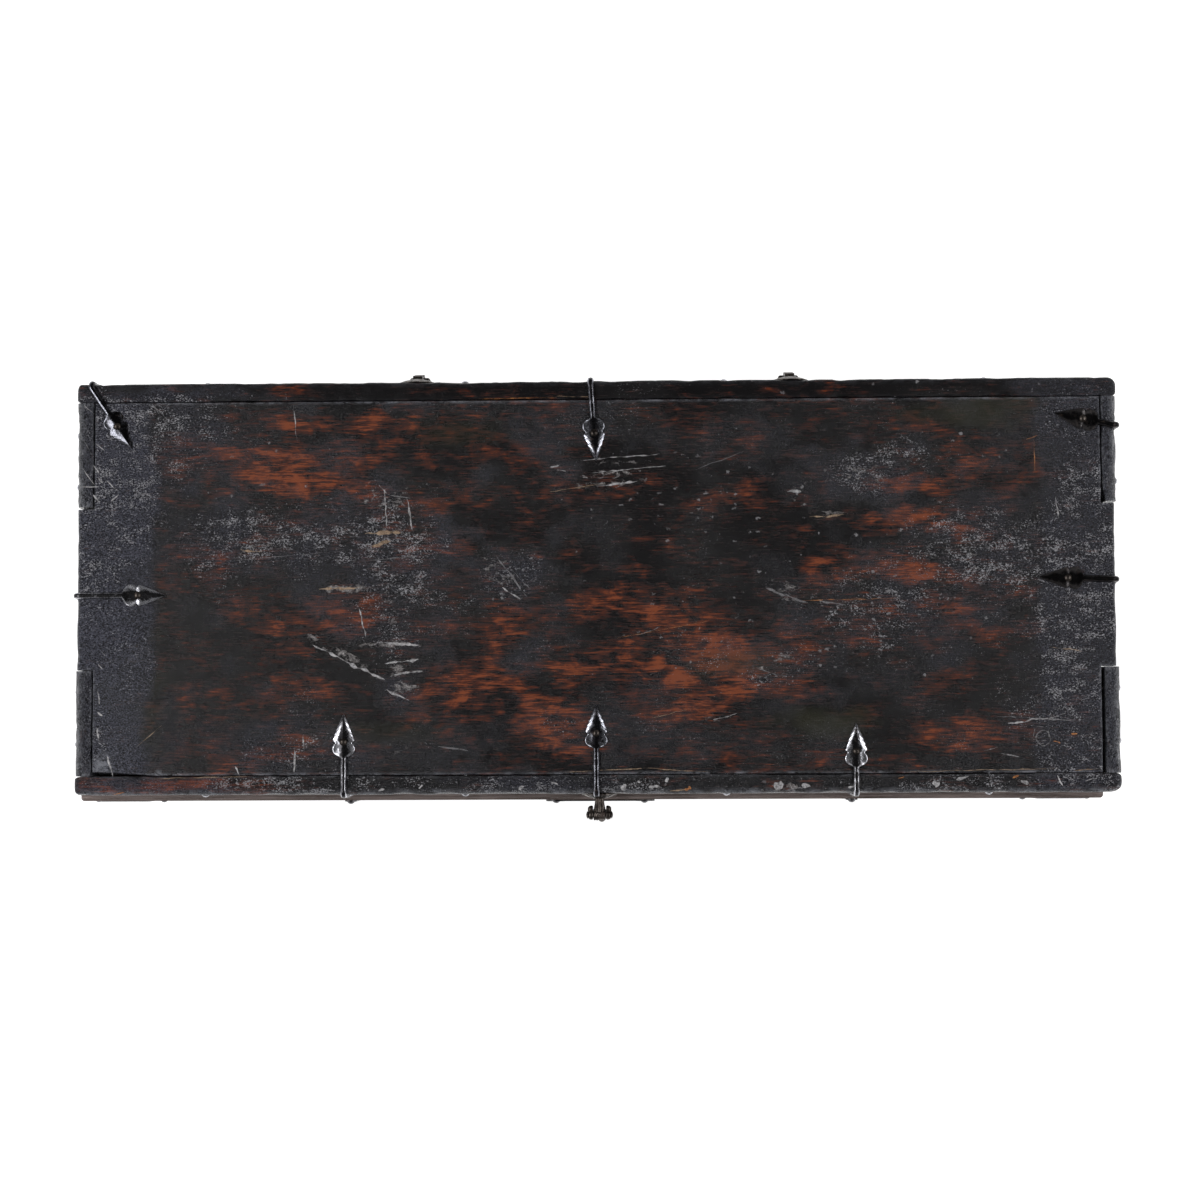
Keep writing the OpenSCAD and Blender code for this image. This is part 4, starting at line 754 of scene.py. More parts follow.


# Scratches and flakes on the plank: pixel from, pixel to, width in pixels. Most pale rows at the left end, on
# and beside the returns, and the two marks near the front left corner are painted glints and streaks of lamp
# light, not filler.
SCRATCHES = {
    "pale": ((584, 460, 664, 454, 1.7), (597, 473, 670, 466, 1.9), (600, 487, 641, 481, 2.2),
        (553, 467, 562, 465, 2.8), (560, 470, 569, 471, 1.6), (1010, 727, 1050, 722, 4.2),
        (1046, 723, 1068, 717, 1.3), (985, 754, 1000, 750, 2.4), (1003, 757, 1021, 760, 2),
        (1022, 784, 1030, 787, 6), (342, 790, 348, 788, 5), (380, 792, 386, 790, 4),
        (420, 789, 424, 786, 4.5), (850, 790, 857, 789, 5), (106, 756, 112, 777, 2.6),
        (235, 767, 240, 777, 2.4), (79, 465, 92, 483, 1.4), (78, 484, 96, 484, 1.2), (80, 400, 93, 412, 1),
        (76, 430, 88, 452, 1), (651, 790, 661, 788, 10), (669, 785, 672, 781, 7), (624, 792, 628, 786, 7.5),
        (640, 783, 643, 784, 5), (776, 789, 786, 787, 8.5), (804, 787, 813, 789, 7.5),
        (521, 791, 526, 788, 6), (553, 784, 560, 786, 2), (935, 784, 941, 788, 8),
        (958, 783, 970, 779, 5.5), (1058, 779, 1064, 789, 3.6), (1086, 785, 1094, 783, 2.6),
        (293, 402, 297, 439, 1.3), (295, 748, 295, 774, 2.2), (304, 737, 305, 750, 1.8),
        (378, 643, 421, 646, 3.4), (314, 645, 386, 681, 4.2), (360, 609, 367, 638, 3),
        (386, 488, 388, 527, 2.2), (408, 497, 414, 530, 2.2), (505, 588, 524, 600, 2),
        (1061, 500, 1064, 523, 1.6), (386, 664, 420, 660, 4.5), (395, 676, 424, 672, 4),
        (388, 690, 410, 702, 3.4), (792, 494, 806, 493, 5), (380, 484, 388, 492, 3),
        (716, 722, 740, 716, 2.6), (96, 690, 98, 704, 2.6), (96, 712, 101, 716, 2.2),
        (96, 728, 98, 742, 2.6), (96, 664, 101, 668, 2), (99, 650, 103, 655, 1.8), (90, 462, 95, 470, 2.6),
        (92, 440, 101, 447, 1.8), (94, 474, 100, 480, 2.2), (104, 478, 112, 486, 1.6),
        (90, 492, 96, 500, 2.4), (108, 498, 116, 492, 1.6)),
    "tan": ((135, 747, 161, 726, 1), (320, 589, 361, 588, 4.4), (366, 533, 402, 531, 5),
        (372, 546, 392, 541, 5), (814, 519, 849, 517, 2.6), (655, 720, 690, 712, 1.6),
        (240, 548, 262, 551, 3), (1050, 650, 1085, 655, 1.4), (566, 774, 606, 772, 1),
        (606, 772, 650, 770, 1.5), (650, 770, 712, 775, 1.1), (150, 779, 250, 777, 0.8),
        (905, 775, 1060, 772, 0.9), (1075, 774, 1102, 773, 1.8), (553, 492, 606, 484, 1),
        (560, 395, 600, 396, 0.8), (672, 793, 690, 791, 2)),
    "orange": ((802, 603, 900, 601, 0.9), (620, 640, 712, 623, 0.8), (1040, 442, 1041, 474, 1),
        (1032, 442, 1044, 438, 1), (1055, 745, 1062, 747, 3.6), (1073, 738, 1079, 737, 4.6),
        (687, 792, 692, 788, 8), (900, 781, 906, 779, 8), (480, 397, 560, 396, 0.8),
        (113, 795, 125, 792, 1.6), (1014, 781, 1020, 779, 2)),
    "smoke": ((600, 478, 612, 477, 1.6), (1035, 741, 1037, 732, 1.4), (1038, 730, 1048, 731, 1.4),
        (1050, 733, 1051, 741, 1.4), (1038, 745, 1048, 744, 1.4), (640, 637, 664, 629, 2.2),
        (499, 556, 530, 598, 2.2), (515, 570, 532, 590, 1.6), (230, 560, 345, 550, 0.9),
        (390, 494, 412, 497, 2), (770, 590, 790, 598, 3), (787, 596, 812, 606, 2.6),
        (700, 470, 750, 452, 1), (1000, 720, 1080, 725, 1.6), (824, 604, 850, 608, 2.4),
        (762, 672, 790, 680, 2.4), (370, 560, 420, 556, 1.6), (440, 748, 470, 752, 2),
        (150, 400, 165, 416, 2))}


def ring_mark(px, py, r, width):
    """Rows of SCRATCHES round a ring, such as a wet cup leaves."""
    at = [(px + r * math.cos(a), py + r * math.sin(a)) for a in np.linspace(0, 2 * math.pi, 11)]
    return tuple((*a, *b, width) for a, b in zip(at, at[1:]))


SCRATCHES["smoke"] += ring_mark(1045, 741.5, 7.5, 1.8)


def build_scratches():
    """Scratches and flakes that stand a little proud of the plank: ragged low ridges along shaken lines,
    whose width follows smooth noise and tapers to both ends. Some of the pale ones are painted glints."""
    # Across, as a share of half the width, and upwards in millimetres
    profile = np.array([[-1, -0.3], [-0.75, 0.1], [-0.3, 0.22], [0.3, 0.2], [0.75, 0.08], [1, -0.3],
                        [0, -0.5]])
    for kind, rows in SCRATCHES.items():
        shells = Shells()
        for k, (*ends, width) in enumerate(rows):
            start, stop = np.array(on_lid(*ends[:2])), np.array(on_lid(*ends[2:]))
            length = np.linalg.norm(stop - start)
            along = (stop - start) / length
            side = np.array([-along[1], along[0]])
            t = np.linspace(0, 1, max(8, int(length / (0.9 * MM))))[:, None]
            taper = np.clip(np.minimum(t, 1 - t) * 5, 0.08, 1) ** 0.6
            shake = 0.9 * MM * min(2, 0.5 + width / 3) * rough(t * length, 0 * t, 0.012, 300 + 7 * k)
            ragged = np.clip(0.6 + 0.75 * rough(t * length, 0 * t, 0.007, 500 + 7 * k), 0.1, 1.4)
            aside = shake + width * PIXEL / 2 * taper * ragged * profile[:, 0]
            x, y = (start[axis] + t * length * along[axis] + aside * side[axis] for axis in (0, 1))
            # Off the plank they lie on a rail or a return, whose tops are level with it
            off = in_notch(x, y) | (outside(x, PLANK_LOW[0], PLANK_HIGH[0]) > 0)
            off |= outside(y, PLANK_LOW[1], PLANK_HIGH[1]) > 0
            z = np.where(off, PLANK_HIGH[2] - 0.05 * MM, plank_top(x, y))
            z = z + profile[:, 1] * MM * (0.4 + 0.6 * taper)
            shells.rings(points_of(x, y, np.minimum(z, PLANK_HIGH[2] + 0.2 * MM * off)))
        shells.piece("scratches_" + kind, "lid", [], FILLERS[kind], "lacquered_wood", sharp=60)


# Rails and returns

# Wear of the rails: share everywhere, then spots. The bloom and speckled shares are partly painted sheen and
# painted glints.
RAIL_WEAR = {
    "front": {
        "bare": (0.04, patches((165, 787, 66, 9, 0.75), (245, 787, 26, 8, 0.5), (1000, 788, 60, 6, 0.2),
            (105, 787, 40, 9, 0.6))),
        "speckled": (0.3, patches((310, 786, 90, 12, 0.8), (520, 786, 60, 12, 0.7), (620, 786, 40, 12, 0.6),
            (960, 786, 60, 12, 0.7), (1090, 786, 40, 12, 0.8), (420, 786, 40, 10, 0.5))),
        "flaked": (0.06, patches((655, 789, 16, 6, 0.8), (795, 788, 26, 6, 0.8), (1020, 784, 30, 7, 0.6),
            (900, 782, 12, 6, 0.6), (370, 789, 40, 6, 0.4), (960, 782, 20, 6, 0.5))),
        "chips": (0.15, patches((700, 786, 130, 12, 0.4))),
        "bloom": (0, patches((120, 786, 90, 12, 0.7), (540, 786, 60, 12, 0.5), (1080, 786, 50, 14, 0.6)))},
    "back": {
        "bare": (0.02, patches((300, 386, 26, 10, 0.5), (520, 393, 60, 6, 0.35), (830, 388, 60, 8, 0.3))),
        "speckled": (-0.1, patches((150, 396, 130, 7, 1.1), (950, 393, 50, 5, 0.8),
            (1095, 392, 30, 14, 0.8), (640, 388, 40, 10, 0.45), (90, 392, 26, 12, 0.7))),
        "flaked": (0, patches((180, 397, 90, 5, 0.3), (640, 386, 30, 6, 0.3))),
        "chips": (0.03, patches((900, 388, 200, 12, 0.15))),
        "bloom": (0, patches((130, 393, 100, 9, 0.5), (1080, 390, 50, 12, 0.4)))}}


def build_rails():
    """Front and back rail: a board's section with a well rounded outer top edge, carried along the
    chest."""
    for side, seed, outer, rubbed in (("front", 101, -1, 1.0), ("back", 131, 1, 0.2)):
        node = "lid_rail_" + side
        low, high = box(node)
        size = high - low
        section = board_section(size[1], size[2], outer, radius=5 * MM, step=3 * MM)
        stations = stations_along(size[0], step=3.2 * MM, end=5 * MM)
        grid = carry(section, stations, low, (1, 0, 0), (0, 1, 0), seed, wave=0.35 * MM, wear=1.5 * MM,
                     end_round=5 * MM)
        # The outer corners are rounded off in plan, most of all at the right end
        share = np.clip((grid[..., 1] - (low[1] + high[1]) / 2) * outer / (size[1] / 2), 0, 1)
        for end, corner in ((grid[..., 0] - low[0], 4 * MM), (high[0] - grid[..., 0], 12 * MM)):
            grid[..., 1] -= outer * share * 0.6 * rounding(end, corner)
        piece = Shells().rings(np.clip(grid, low, high)).piece("worn_rail_" + side, "lid", [node],
                                                               RAIL[side], "lacquered_wood", sharp=35)
        paint_edge(piece.data, low, high, 1, outer, reach=6 * MM, strength=rubbed)
        x, y, _ = places_of(piece.data).T
        for k, (label, (base, places)) in enumerate(RAIL_WEAR[side].items()):
            write_shares(piece.data, label, base + spots(x, y, places, 0.5, 200 + 10 * k))


def build_returns():
    """Corner returns: short boards along the ends, their outer top edges and free ends rubbed round."""
    for k, name in enumerate(RETURN_GAPS):
        node = "lid_return_" + name
        low, high = box(node)
        outer = -1 if "left" in name else 1
        section = board_section(high[0] - low[0], high[2] - low[2], outer, radius=8 * MM, step=2 * MM)
        # The end at the rail butts against it, the free end is rubbed round
        butt = np.array([0, 0.6 * MM, 0])
        start, stop = (low - butt, high) if "front" in name else (low, high + butt)
        stations = stations_along(stop[1] - start[1], step=2.4 * MM, end=2.5 * MM)
        grid = carry(section, stations, start, (0, 1, 0), (1, 0, 0), 161 + 7 * k, wave=0.3 * MM,
                     wear=1.6 * MM, end_round=0.4 * MM)
        grid = np.clip(grid, start, stop)
        if name == "back_right":
            # Its free end is worn to a wedge on the inner side
            length, depth = 26 * MM, 5 * MM
            worn = np.clip((low[1] + length - grid[..., 1]) / length, 0, 1) ** 2 * depth
            grid[..., 0] += worn * fade(grid[..., 0] - low[0], 10 * MM)
        piece = Shells().rings(grid).piece("worn_return_" + name, "lid", [node], RETURN, "lacquered_wood",
                                           sharp=35)
        paint_edge(piece.data, low, high, 0, outer, reach=9 * MM, strength=1.5)


def paint_edge(mesh, low, high, axis, outer, reach, strength):
    """Marks the outer top edge, the inner edge and the ends of a rail or return as rubbed, strongest on the
    outer rounding, where the rubbed colour also stands for a painted highlight of the lamps. The axis is the
    one across the board."""
    places = places_of(mesh)
    above, below = places - low, high - places
    side, inner = (above, below) if outer < 0 else (below, above)
    edge = np.hypot(np.maximum(side[:, axis], 0), below[:, 2])
    rub = fade(edge, reach, 1.2) + 0.5 * fade(inner[:, axis], 2 * MM)
    rub = np.maximum(rub, fade(np.minimum(above, below)[:, 1 - axis], 5 * MM, 1.2))
    patchy = np.clip(0.8 + 0.6 * rough(places[:, 0], places[:, 1], 0.012, 87), 0.2, 1.3)
    write_shares(mesh, "rubbed", np.clip(rub * strength * patchy, 0, 1.3))


# Straps

ROD_W, ROD_H, LEAF_L, LEAF_W, LEAF_T = 7.5 * MM, 4 * MM, 50 * MM, 25.6 * MM, 2.4 * MM
FOOT_D, EDGE_R = 14 * MM, 5 * MM


def leaf_half(u):
    """Half width of a leaf, as a share of its widest, from 0 at its base to 1 at its tip: two round lobes
    at the base, a slight pinch, and a full blade that narrows to a point."""
    lobes = np.sqrt(np.clip(1 - ((u - 0.19) / 0.2) ** 2, 0, 1))
    blade = 0.94 * np.clip((1 - u) / 0.6, 0, 1) ** 0.85 * np.clip((u - 0.26) / 0.12, 0, 1) ** 0.5
    return float(np.maximum(lobes, blade))


def bell(value, middle, width):
    """A bell curve: 1 in the middle, falling away on both sides."""
    return np.exp(-(((value - middle) / width) ** 2))


def leaf_height(q, side, u):
    """Height of a leaf over its width, in millimetres: a rib, two sides that slope outwards, hollow in the
    lobes with a raised rim, and veins across the blade."""
    lobe = np.clip(1 - ((u - 0.19) / 0.22) ** 2, 0, 1)
    slope = 2.4 * (1 - np.abs(q) ** 2.2) + 0.4
    cup = 0.6 * bell(np.abs(q), 0.93, 0.1) - 0.9 * bell(np.abs(q), 0.55, 0.26)
    veins = 0.12 * np.sin((np.abs(side) * 0.9 + u * 46) * 2.1) * (np.abs(q) > 0.2) * (1 - lobe)
    return slope + lobe * cup + 0.35 * bell(side, 0, 1.1) + veins


def strap_section(s, length, ends):
    """Half width, heights and shares of painted highlight and painted shade of a strap's section at a place
    along it: the round rod with two painted bright lines beside a painted dark crown, or within a leaf, with
    painted bright rims and a painted dark middle, or a foot at one of its ends."""
    q = np.sin(np.linspace(-1, 1, 23) * RIGHT_ANGLE)
    heights = ROD_H * (0.8 * (1 - np.abs(q) ** 5) + 0.2 * (1 - np.abs(q)))
    half = ROD_W / 2 * (1 + 0.05 * math.sin(s * 210))
    # Painted highlight: two bright lines, and painted shade: a dark crown
    shade = 1.3 * bell(np.abs(q), 0.72, 0.2) - 0.9
    for end, away in ((ends[0], s), (ends[1], length - s)):
        if end == "leaf" and away < LEAF_L:
            u = 1 - away / LEAF_L
            join = min(max((away - 0.86 * LEAF_L) / (0.14 * LEAF_L), 0), 1)
            half = max(leaf_half(u) * LEAF_W / 2, 0.3 * MM, ROD_W / 2 * join)
            leaf = leaf_height(q, q * half / MM, u) * MM * min(1, 0.3 + away / (12 * MM))
            heights = leaf * (1 - join) + heights * join
            # On a leaf: painted bright rims and a painted dark middle
            shade = (2.6 * np.abs(q) ** 1.5 - 1.3) * (1 - join) + shade * join
        if end == "foot" and away < FOOT_D:
            v = 1 - away / FOOT_D
            disc = FOOT_D / 2 * math.sqrt(max(0, 1 - (2 * v - 1) ** 2))
            half = max(disc, ROD_W / 2 if v < 0.5 else 0.4 * MM)
            join = min(1, v * 4)
            heights = heights * (1 - join) + LEAF_T * (1 - 0.25 * q**2) * join
    return q, half, heights, shade


def strap_rings(place, length, ends, bends=(), dark_side=0):
    """Rings of a strap and their shares of painted highlight and painted shade: its section carried along a
    path, given as a function from the distance along it to a middle, a direction across and a direction
    outwards. A painted dark side of 1 or -1 paints one half of it black, as shade, and the other bright, as a
    highlight."""
    parts = [np.arange(0, length, 2.5 * MM), [length]] + [np.linspace(a, b, 9) for a, b in bends]
    for end, start, way in ((ends[0], 0, 1), (ends[1], length, -1)):
        if end in ("leaf", "foot"):
            reach, count = (LEAF_L, 48) if end == "leaf" else (FOOT_D, 17)
            parts.append(start + way * np.linspace(0, reach, count))
    stations = np.unique(np.round(np.concatenate(parts), 6))
    rings, shares = [], []
    for s in stations[np.append(True, np.diff(stations) > 0.15 * MM)]:
        centre, across, normal = place(s)
        q, half, heights, shade = strap_section(s, length, ends)
        # One half painted dark as shade, the other painted bright as a highlight
        if dark_side:
            shade = 0.3 * shade - 1.2 * dark_side * np.clip(q * 3, -0.6, 0.55)
        # The top from side to side, then three points underneath
        q, heights = np.append(q, [1, 0, -1]), np.append(heights, [-0.8 * MM] * 3)
        rings.append(centre + across * (q[:, None] * half) + normal * heights[:, None])
        shares.append(np.append(shade, [0, 0, 0]))
    return np.array(rings), np.array(shares)


def over_edge(reach, face, skew):
    """Path from a leaf's tip on the lid to the rounded edge and down the face. The edge is at y = 0, the
    top at z = 0 and the lid lies towards +Y. A skew strap turns square to the edge where it goes over
    it."""
    top, arc = reach - EDGE_R, RIGHT_ANGLE * EDGE_R
    c, s = math.cos(math.radians(skew)), math.sin(math.radians(skew))

    def place(at):
        phi = min(max(at - top, 0) / EDGE_R, RIGHT_ANGLE)
        blend = 0.5 * min(max((at - top + 8 * MM) / (8 * MM), 0), 1) + 0.5 * phi / RIGHT_ANGLE
        side = np.array([c, s, 0]) * (1 - blend) + np.array([1.0, 0, 0]) * blend
        normal = np.array([0, -math.sin(phi), math.cos(phi)])
        if at < top:
            centre = np.array([0, EDGE_R, 0]) + np.array([-s, c, 0]) * (top - at)
        else:
            centre = np.array([0, EDGE_R, -EDGE_R - max(at - top - arc, 0)]) + normal * EDGE_R
        return centre, side / np.linalg.norm(side), normal

    return place, top + arc + face, [(top, top + arc)]


def round_corner(reach, radius):
    """Path along the front face, round a corner of the chest and along the end, for the front left corner,
    which is at x = 0 and y = 0."""
    run, arc = reach - radius, RIGHT_ANGLE * radius

    def place(at):
        phi = min(max(at - run, 0) / radius, RIGHT_ANGLE)
        normal = np.array([-math.sin(phi), -math.cos(phi), 0])
        centre = np.array([radius + max(run - at, 0), radius + max(at - run - arc, 0), 0]) + normal * radius
        return centre, np.array([0, 0, 1.0]), normal

    return place, 2 * run + arc, [(run, run + arc)]


def turned(points, axis, angle):
    """Points turned about the Z axis, 2, or the X axis, 0."""
    i, j = (axis + 1) % 3, (axis + 2) % 3
    c, s = math.cos(angle), math.sin(angle)
    out = np.array(points, float)
    u, v = points[..., i], points[..., j]
    out[..., i], out[..., j] = c * u - s * v, s * u + c * v
    return out


# Straps on the lid: side, place along it, reach, skew, length down the face, foot or not. The back left one
# has painted shade on one half and a painted highlight on the other, and some have a darker copy of the iron
# as painted shade.
FACE_DROP, END_DROP = 39 * MM, 22 * MM
TURNS = {"front": 0, "right": RIGHT_ANGLE, "back": math.pi, "left": -RIGHT_ANGLE}
STRAPS = {"front_left": ("front", -0.282, 0.093, 0, FACE_DROP, "foot"),
          "front_centre": ("front", 0.009, 0.102, 0, 1 * MM, "plain"),
          "front_right": ("front", 0.307, 0.08, 0, FACE_DROP, "foot"),
          "back_left": ("back", -0.577, 0.092, 34, FACE_DROP, "foot"),
          "back_centre": ("back", 0.004, 0.094, 4, FACE_DROP, "foot"),
          "back_right": ("right", 0.187, 0.072, -12, FACE_DROP, "foot"),
          "end_left": ("left", -0.004, 0.104, 0, END_DROP, "foot"),
          "end_right": ("right", 0.009, 0.088, -2, END_DROP, "foot")}
DARK_SIDE = {"back_left": -1}
STRAP_IRON = {"front_centre": DIM_IRON, "back_left": SKEW_IRON, "back_centre": DIM_IRON,
              "back_right": BLACK_IRON, "end_right": BLACK_IRON}


def build_straps():
    """The eight straps that clasp the lid's edges."""
    front, back = box("lid_rail_front"), box("lid_rail_back")
    for name, (side, along, reach, skew, face, foot) in STRAPS.items():
        low, high = (PLANK_LOW, PLANK_HIGH) if name.startswith("end") else front
        at = {"front": (along, front[0][1]), "back": (along, back[1][1]), "left": (low[0], along),
              "right": (high[0], along)}[side]
        place, length, bends = over_edge(reach, face, skew)
        rings, shares = strap_rings(place, length, ("leaf", foot), bends, DARK_SIDE.get(name, 0))
        Shells().rings(turned(rings, 2, TURNS[side]) + [*at, PLANK_HIGH[2]], shares).piece(
            "strap_" + name, "lid", ["lid_strap_" + name], STRAP_IRON.get(name, IRON))


CORNER_REACH, CORNER_RADIUS, CORNER_EDGE = 112 * MM, 4 * MM, 12 * MM


def build_irons():
    """The two straps on the front and the eight irons round the upright corners."""
    for name in ("left", "right"):
        low, high = box("body_strap_" + name)
        tip = np.array([(low[0] + high[0]) / 2, box("front_board")[0][1], low[2]])
        shells = Shells()
        shells.rings(*strap_rings(lambda s: (tip + [0, 0, s], np.array([1.0, 0, 0]), np.array([0, -1.0, 0])),
                                  high[2] - low[2], ("leaf", "foot")))
        shells.piece("front_strap_" + name, "carcass", ["body_strap_" + name], BODY_IRON)
    low, high = box("front_board")[0], box("back_board")[1]
    place, length, bends = round_corner(CORNER_REACH, CORNER_RADIUS)
    rings, shares = strap_rings(place, length, ("leaf", "leaf"), bends)
    for end, y in (("front", low[1]), ("back", high[1])):
        for side, x in (("left", low[0]), ("right", -low[0])):
            node = "corner_irons_%s_%s" % (end, side)
            inwards = np.array([-np.sign(x), 1 if end == "front" else -1, 1])
            shells = Shells()
            for z in (box(node)[0][2] + CORNER_EDGE, box(node)[1][2] - CORNER_EDGE):
                shells.rings(rings * inwards + [x, y, z], shares)
            shells.piece("corner_straps_%s_%s" % (end, side), "carcass", [node], BODY_IRON)


# Plinth and rosettes

PLINTH_COVE = 8 * MM


def plinth_section(thick, height):
    """Section of the plinth, out from the wall and up: flat sides, and a quarter hollow along the top.
    Gives points, outward normals, and how near each point is to one of the three sharp edges, from 0 to
    1."""
    foot, brow, lip = np.array([[thick, 0], [thick, height - PLINTH_COVE], [thick - PLINTH_COVE, height]])
    hollow = np.linspace(0, RIGHT_ANGLE, 9)[:-1, None]
    out = np.hstack([np.sin(hollow), np.cos(hollow)])
    points, normals = [], []
    for start, stop, normal, count in (((0, 0), foot, (0, -1), 4), (foot, brow, (1, 0), 14),
                                       (lip, (0, height), (0, 1), 3), ((0, height), (0, 0), (-1, 0), 4)):
        share = np.arange(count)[:, None] / count
        points.append(np.array(start) * (1 - share) + np.array(stop) * share)
        normals.append(np.tile(normal, (count, 1)))
        if stop is brow:
            points.append([thick, height] - PLINTH_COVE * out)
            normals.append(out)
    points, normals = np.concatenate(points), np.concatenate(normals)
    away = np.min([np.linalg.norm(points - edge, axis=1) for edge in (foot, brow, lip)], axis=0)
    return points, normals, np.exp(-away / (2.5 * MM))


def build_plinth():
    """The four plinth mouldings, planed a little unevenly, their arrises knocked and rubbed."""
    for k, name in enumerate(PLINTHS):
        low, high = box(name)
        run, depth = (0, 1) if k < 2 else (1, 0)
        sign = -1 if name in ("plinth_front", "plinth_left") else 1
        origin = low.copy()
        origin[depth] = high[depth] if sign < 0 else low[depth]
        section = plinth_section(high[depth] - low[depth], high[2] - low[2])
        stations = stations_along(high[run] - low[run], step=3.6 * MM, end=1.5 * MM)
        grid = carry(section, stations, origin, np.eye(3)[run], np.eye(3)[depth] * sign, 401 + 9 * k,
                     wave=0.3 * MM, wear=1.7 * MM, end_round=1 * MM)
        Shells().rings(np.clip(grid, low, high)).piece("worn_" + name, "carcass", [name], PLINTH[name],
                                                       "lacquered_wood", sharp=35)


def rosette_rings(radius, height, petals):
    """A rosette about Z: a dome with a raised ring round its middle, grooves between its petals and a
    scalloped rim."""
    angle = circle(16 * petals)
    groove = bell(np.cos(petals * angle / 2), 0, 0.3)
    rings = []
    for r, up in [(1.0, 0.0), (1.0, 0.7), (0.985, 0.9)] + [(r, None) for r in np.linspace(0.96, 0.03, 30)]:
        rim = radius * r * (1 - 0.05 * groove * np.clip((r - 0.55) / 0.4, 0, 1))
        if up is None:
            up = 0.9 + (height / MM - 0.9) * (1 - r * r) - 0.9 * groove * np.clip((r - 0.36) / 0.2, 0, 1)
            up = up + 0.5 * bell(r, 0.33, 0.045) - 0.35 * bell(r, 0.86, 0.05)
        rings.append(points_of(np.cos(angle) * rim, np.sin(angle) * rim, np.clip(up, 0, height / MM) * MM))
    return np.array(rings)


ROSETTES = {"hinge_rosettes_lower": ("carcass", DARK_IRON), "hinge_rosettes_upper": ("lid", DARK_IRON),
            "hasp_rosette": ("lid", DARK_IRON), "handle_rosettes_left": ("carcass", BODY_IRON),
            "handle_rosettes_right": ("carcass", BODY_IRON)}


def build_rosettes():
    """The domed rosettes of the hinges, of the hasp and under the bails' eyes."""
    for node, (body, iron) in ROSETTES.items():
        low, high = box(node)
        thin = int(np.argmin(high - low))
        wide, radius = 1 - thin, (high[2] - low[2]) / 2
        rings = rosette_rings(radius, high[thin] - low[thin], petals=12)
        shells = Shells()
        for middle in sorted({round(low[wide] + radius, 6), round(high[wide] - radius, 6)}):
            grid = np.zeros_like(rings)
            grid[..., wide] = middle + rings[..., 0]
            grid[..., 2] = (low[2] + high[2]) / 2 + rings[..., 1]
            grid[..., thin] = high[thin] - rings[..., 2] if low[thin] < 0 else low[thin] + rings[..., 2]
            shells.rings(grid)
        name = node.replace("rosettes", "petals").replace("rosette", "petals")
        shells.piece(name, body, [node], iron)


# Bails


def tube(path, radius, sides=28, flutes=0, depth=0.0, turn=0.0):
    """Rings of a round bar along a path square to the X axis: its radius follows the path, and it may have
    flutes that turn with it."""
    run = np.append(0, np.cumsum(np.linalg.norm(np.diff(path, axis=0), axis=1)))[:, None]
    ahead = np.gradient(path, axis=0)
    side = np.cross(ahead / np.linalg.norm(ahead, axis=1)[:, None], [1.0, 0, 0])
    angle = circle(sides)
    r = np.reshape(radius, (-1, 1)) * (1 + np.reshape(depth, (-1, 1)) * np.cos(flutes * angle + turn * run))
    outwards = np.cos(angle)[:, None] * side[:, None] - np.sin(angle)[:, None] * np.array([1.0, 0, 0])
    return path[:, None] + r[..., None] * outwards


def build_bails():
    """The two drop handles: stubs with round knobs, arms, and a grip that swells to a twisted middle
    between two collars."""
    rod, arm, bend, knob = 5 * MM, 48.5 * MM, 18 * MM, 6.5 * MM
    for name in ("left", "right"):
        low, high = box("handle_" + name)
        x, pivot = (low[0] + high[0]) / 2, high[2] - knob
        drop = pivot - low[2] - 7 * MM
        # From the left pivot down and across to the middle of the grip, and on in a mirror
        a = np.linspace(0.1, RIGHT_ANGLE, 12)
        y = np.concatenate([np.full(16, -arm), -arm + bend * (1 - np.cos(a)),
                            np.linspace(-arm + bend + 1 * MM, 0, 40)])
        z = np.concatenate([np.linspace(0, bend - drop, 16), bend - drop - bend * np.sin(a),
                            np.full(40, -drop)])
        y, z = np.append(y, -y[-2::-1]), np.append(z, z[-2::-1])
        at_grip = np.clip((6 * MM - z - drop) / (4 * MM), 0, 1)
        swell = 2 * MM * bell(y, 0, 13 * MM) + 1.5 * MM * bell(np.abs(y), 24 * MM, 1.6 * MM)
        radius = rod * (1 - 0.06 * np.cos(z * 190)) + at_grip * swell
        twist = 0.07 * at_grip * np.exp(-((y / (17 * MM)) ** 4))
        shells = Shells()
        shells.rings(tube(points_of(x, y, pivot + z), radius, sides=36, flutes=6, depth=twist, turn=260.0))
        for way, reach in ((-1, -low[1]), (1, high[1])):
            a = np.linspace(0, math.pi, 12)[1:-1]
            out = np.concatenate([[arm - 3.5 * MM], np.linspace(arm, reach - 2 * knob, 5),
                                  reach - knob * (1 + np.cos(a))])
            radius = np.append(np.full(6, rod), np.maximum(knob * np.sin(a), 0.4 * MM))
            shells.rings(tube(points_of(x, way * out, pivot), radius))
        shells.piece("bail_" + name, "bail_" + name, ["handle_" + name], BODY_IRON)


# Hasp

PIN_AT = np.array([0.012, -0.26, 0.5045])
HANG, HOME_TURN, LILY_TURN = (math.radians(angle) for angle in (1.8, 10.476, 5))
BLADE_TOP, BLADE_LOW, LILY_L, BLADE_W, BLADE_T = 66 * MM, 34 * MM, 30 * MM, 22 * MM, 4 * MM
# Distance from the hasp's middle to each ring of a cheek, and how far the ring is drawn in, in millimetres
CHEEK = ((7.6, 1.2), (7.8, 0.6), (8.3, 0.15), (9.2, 0), (10.6, 0.15), (11.8, 0.6), (12.7, 1.4), (13.3, 2.3),
         (13.6, 3.3))


def hasp_place(points, part):
    """From a frame on one part of the hasp, top, low or lily, to the chest's."""
    if part == "lily":
        points = turned(points, 0, -LILY_TURN) + [0, 0, -BLADE_LOW]
    if part in ("lily", "low"):
        points = turned(points, 0, -HOME_TURN) + [0, 0, -BLADE_TOP]
    return turned(points, 0, HANG) + PIN_AT


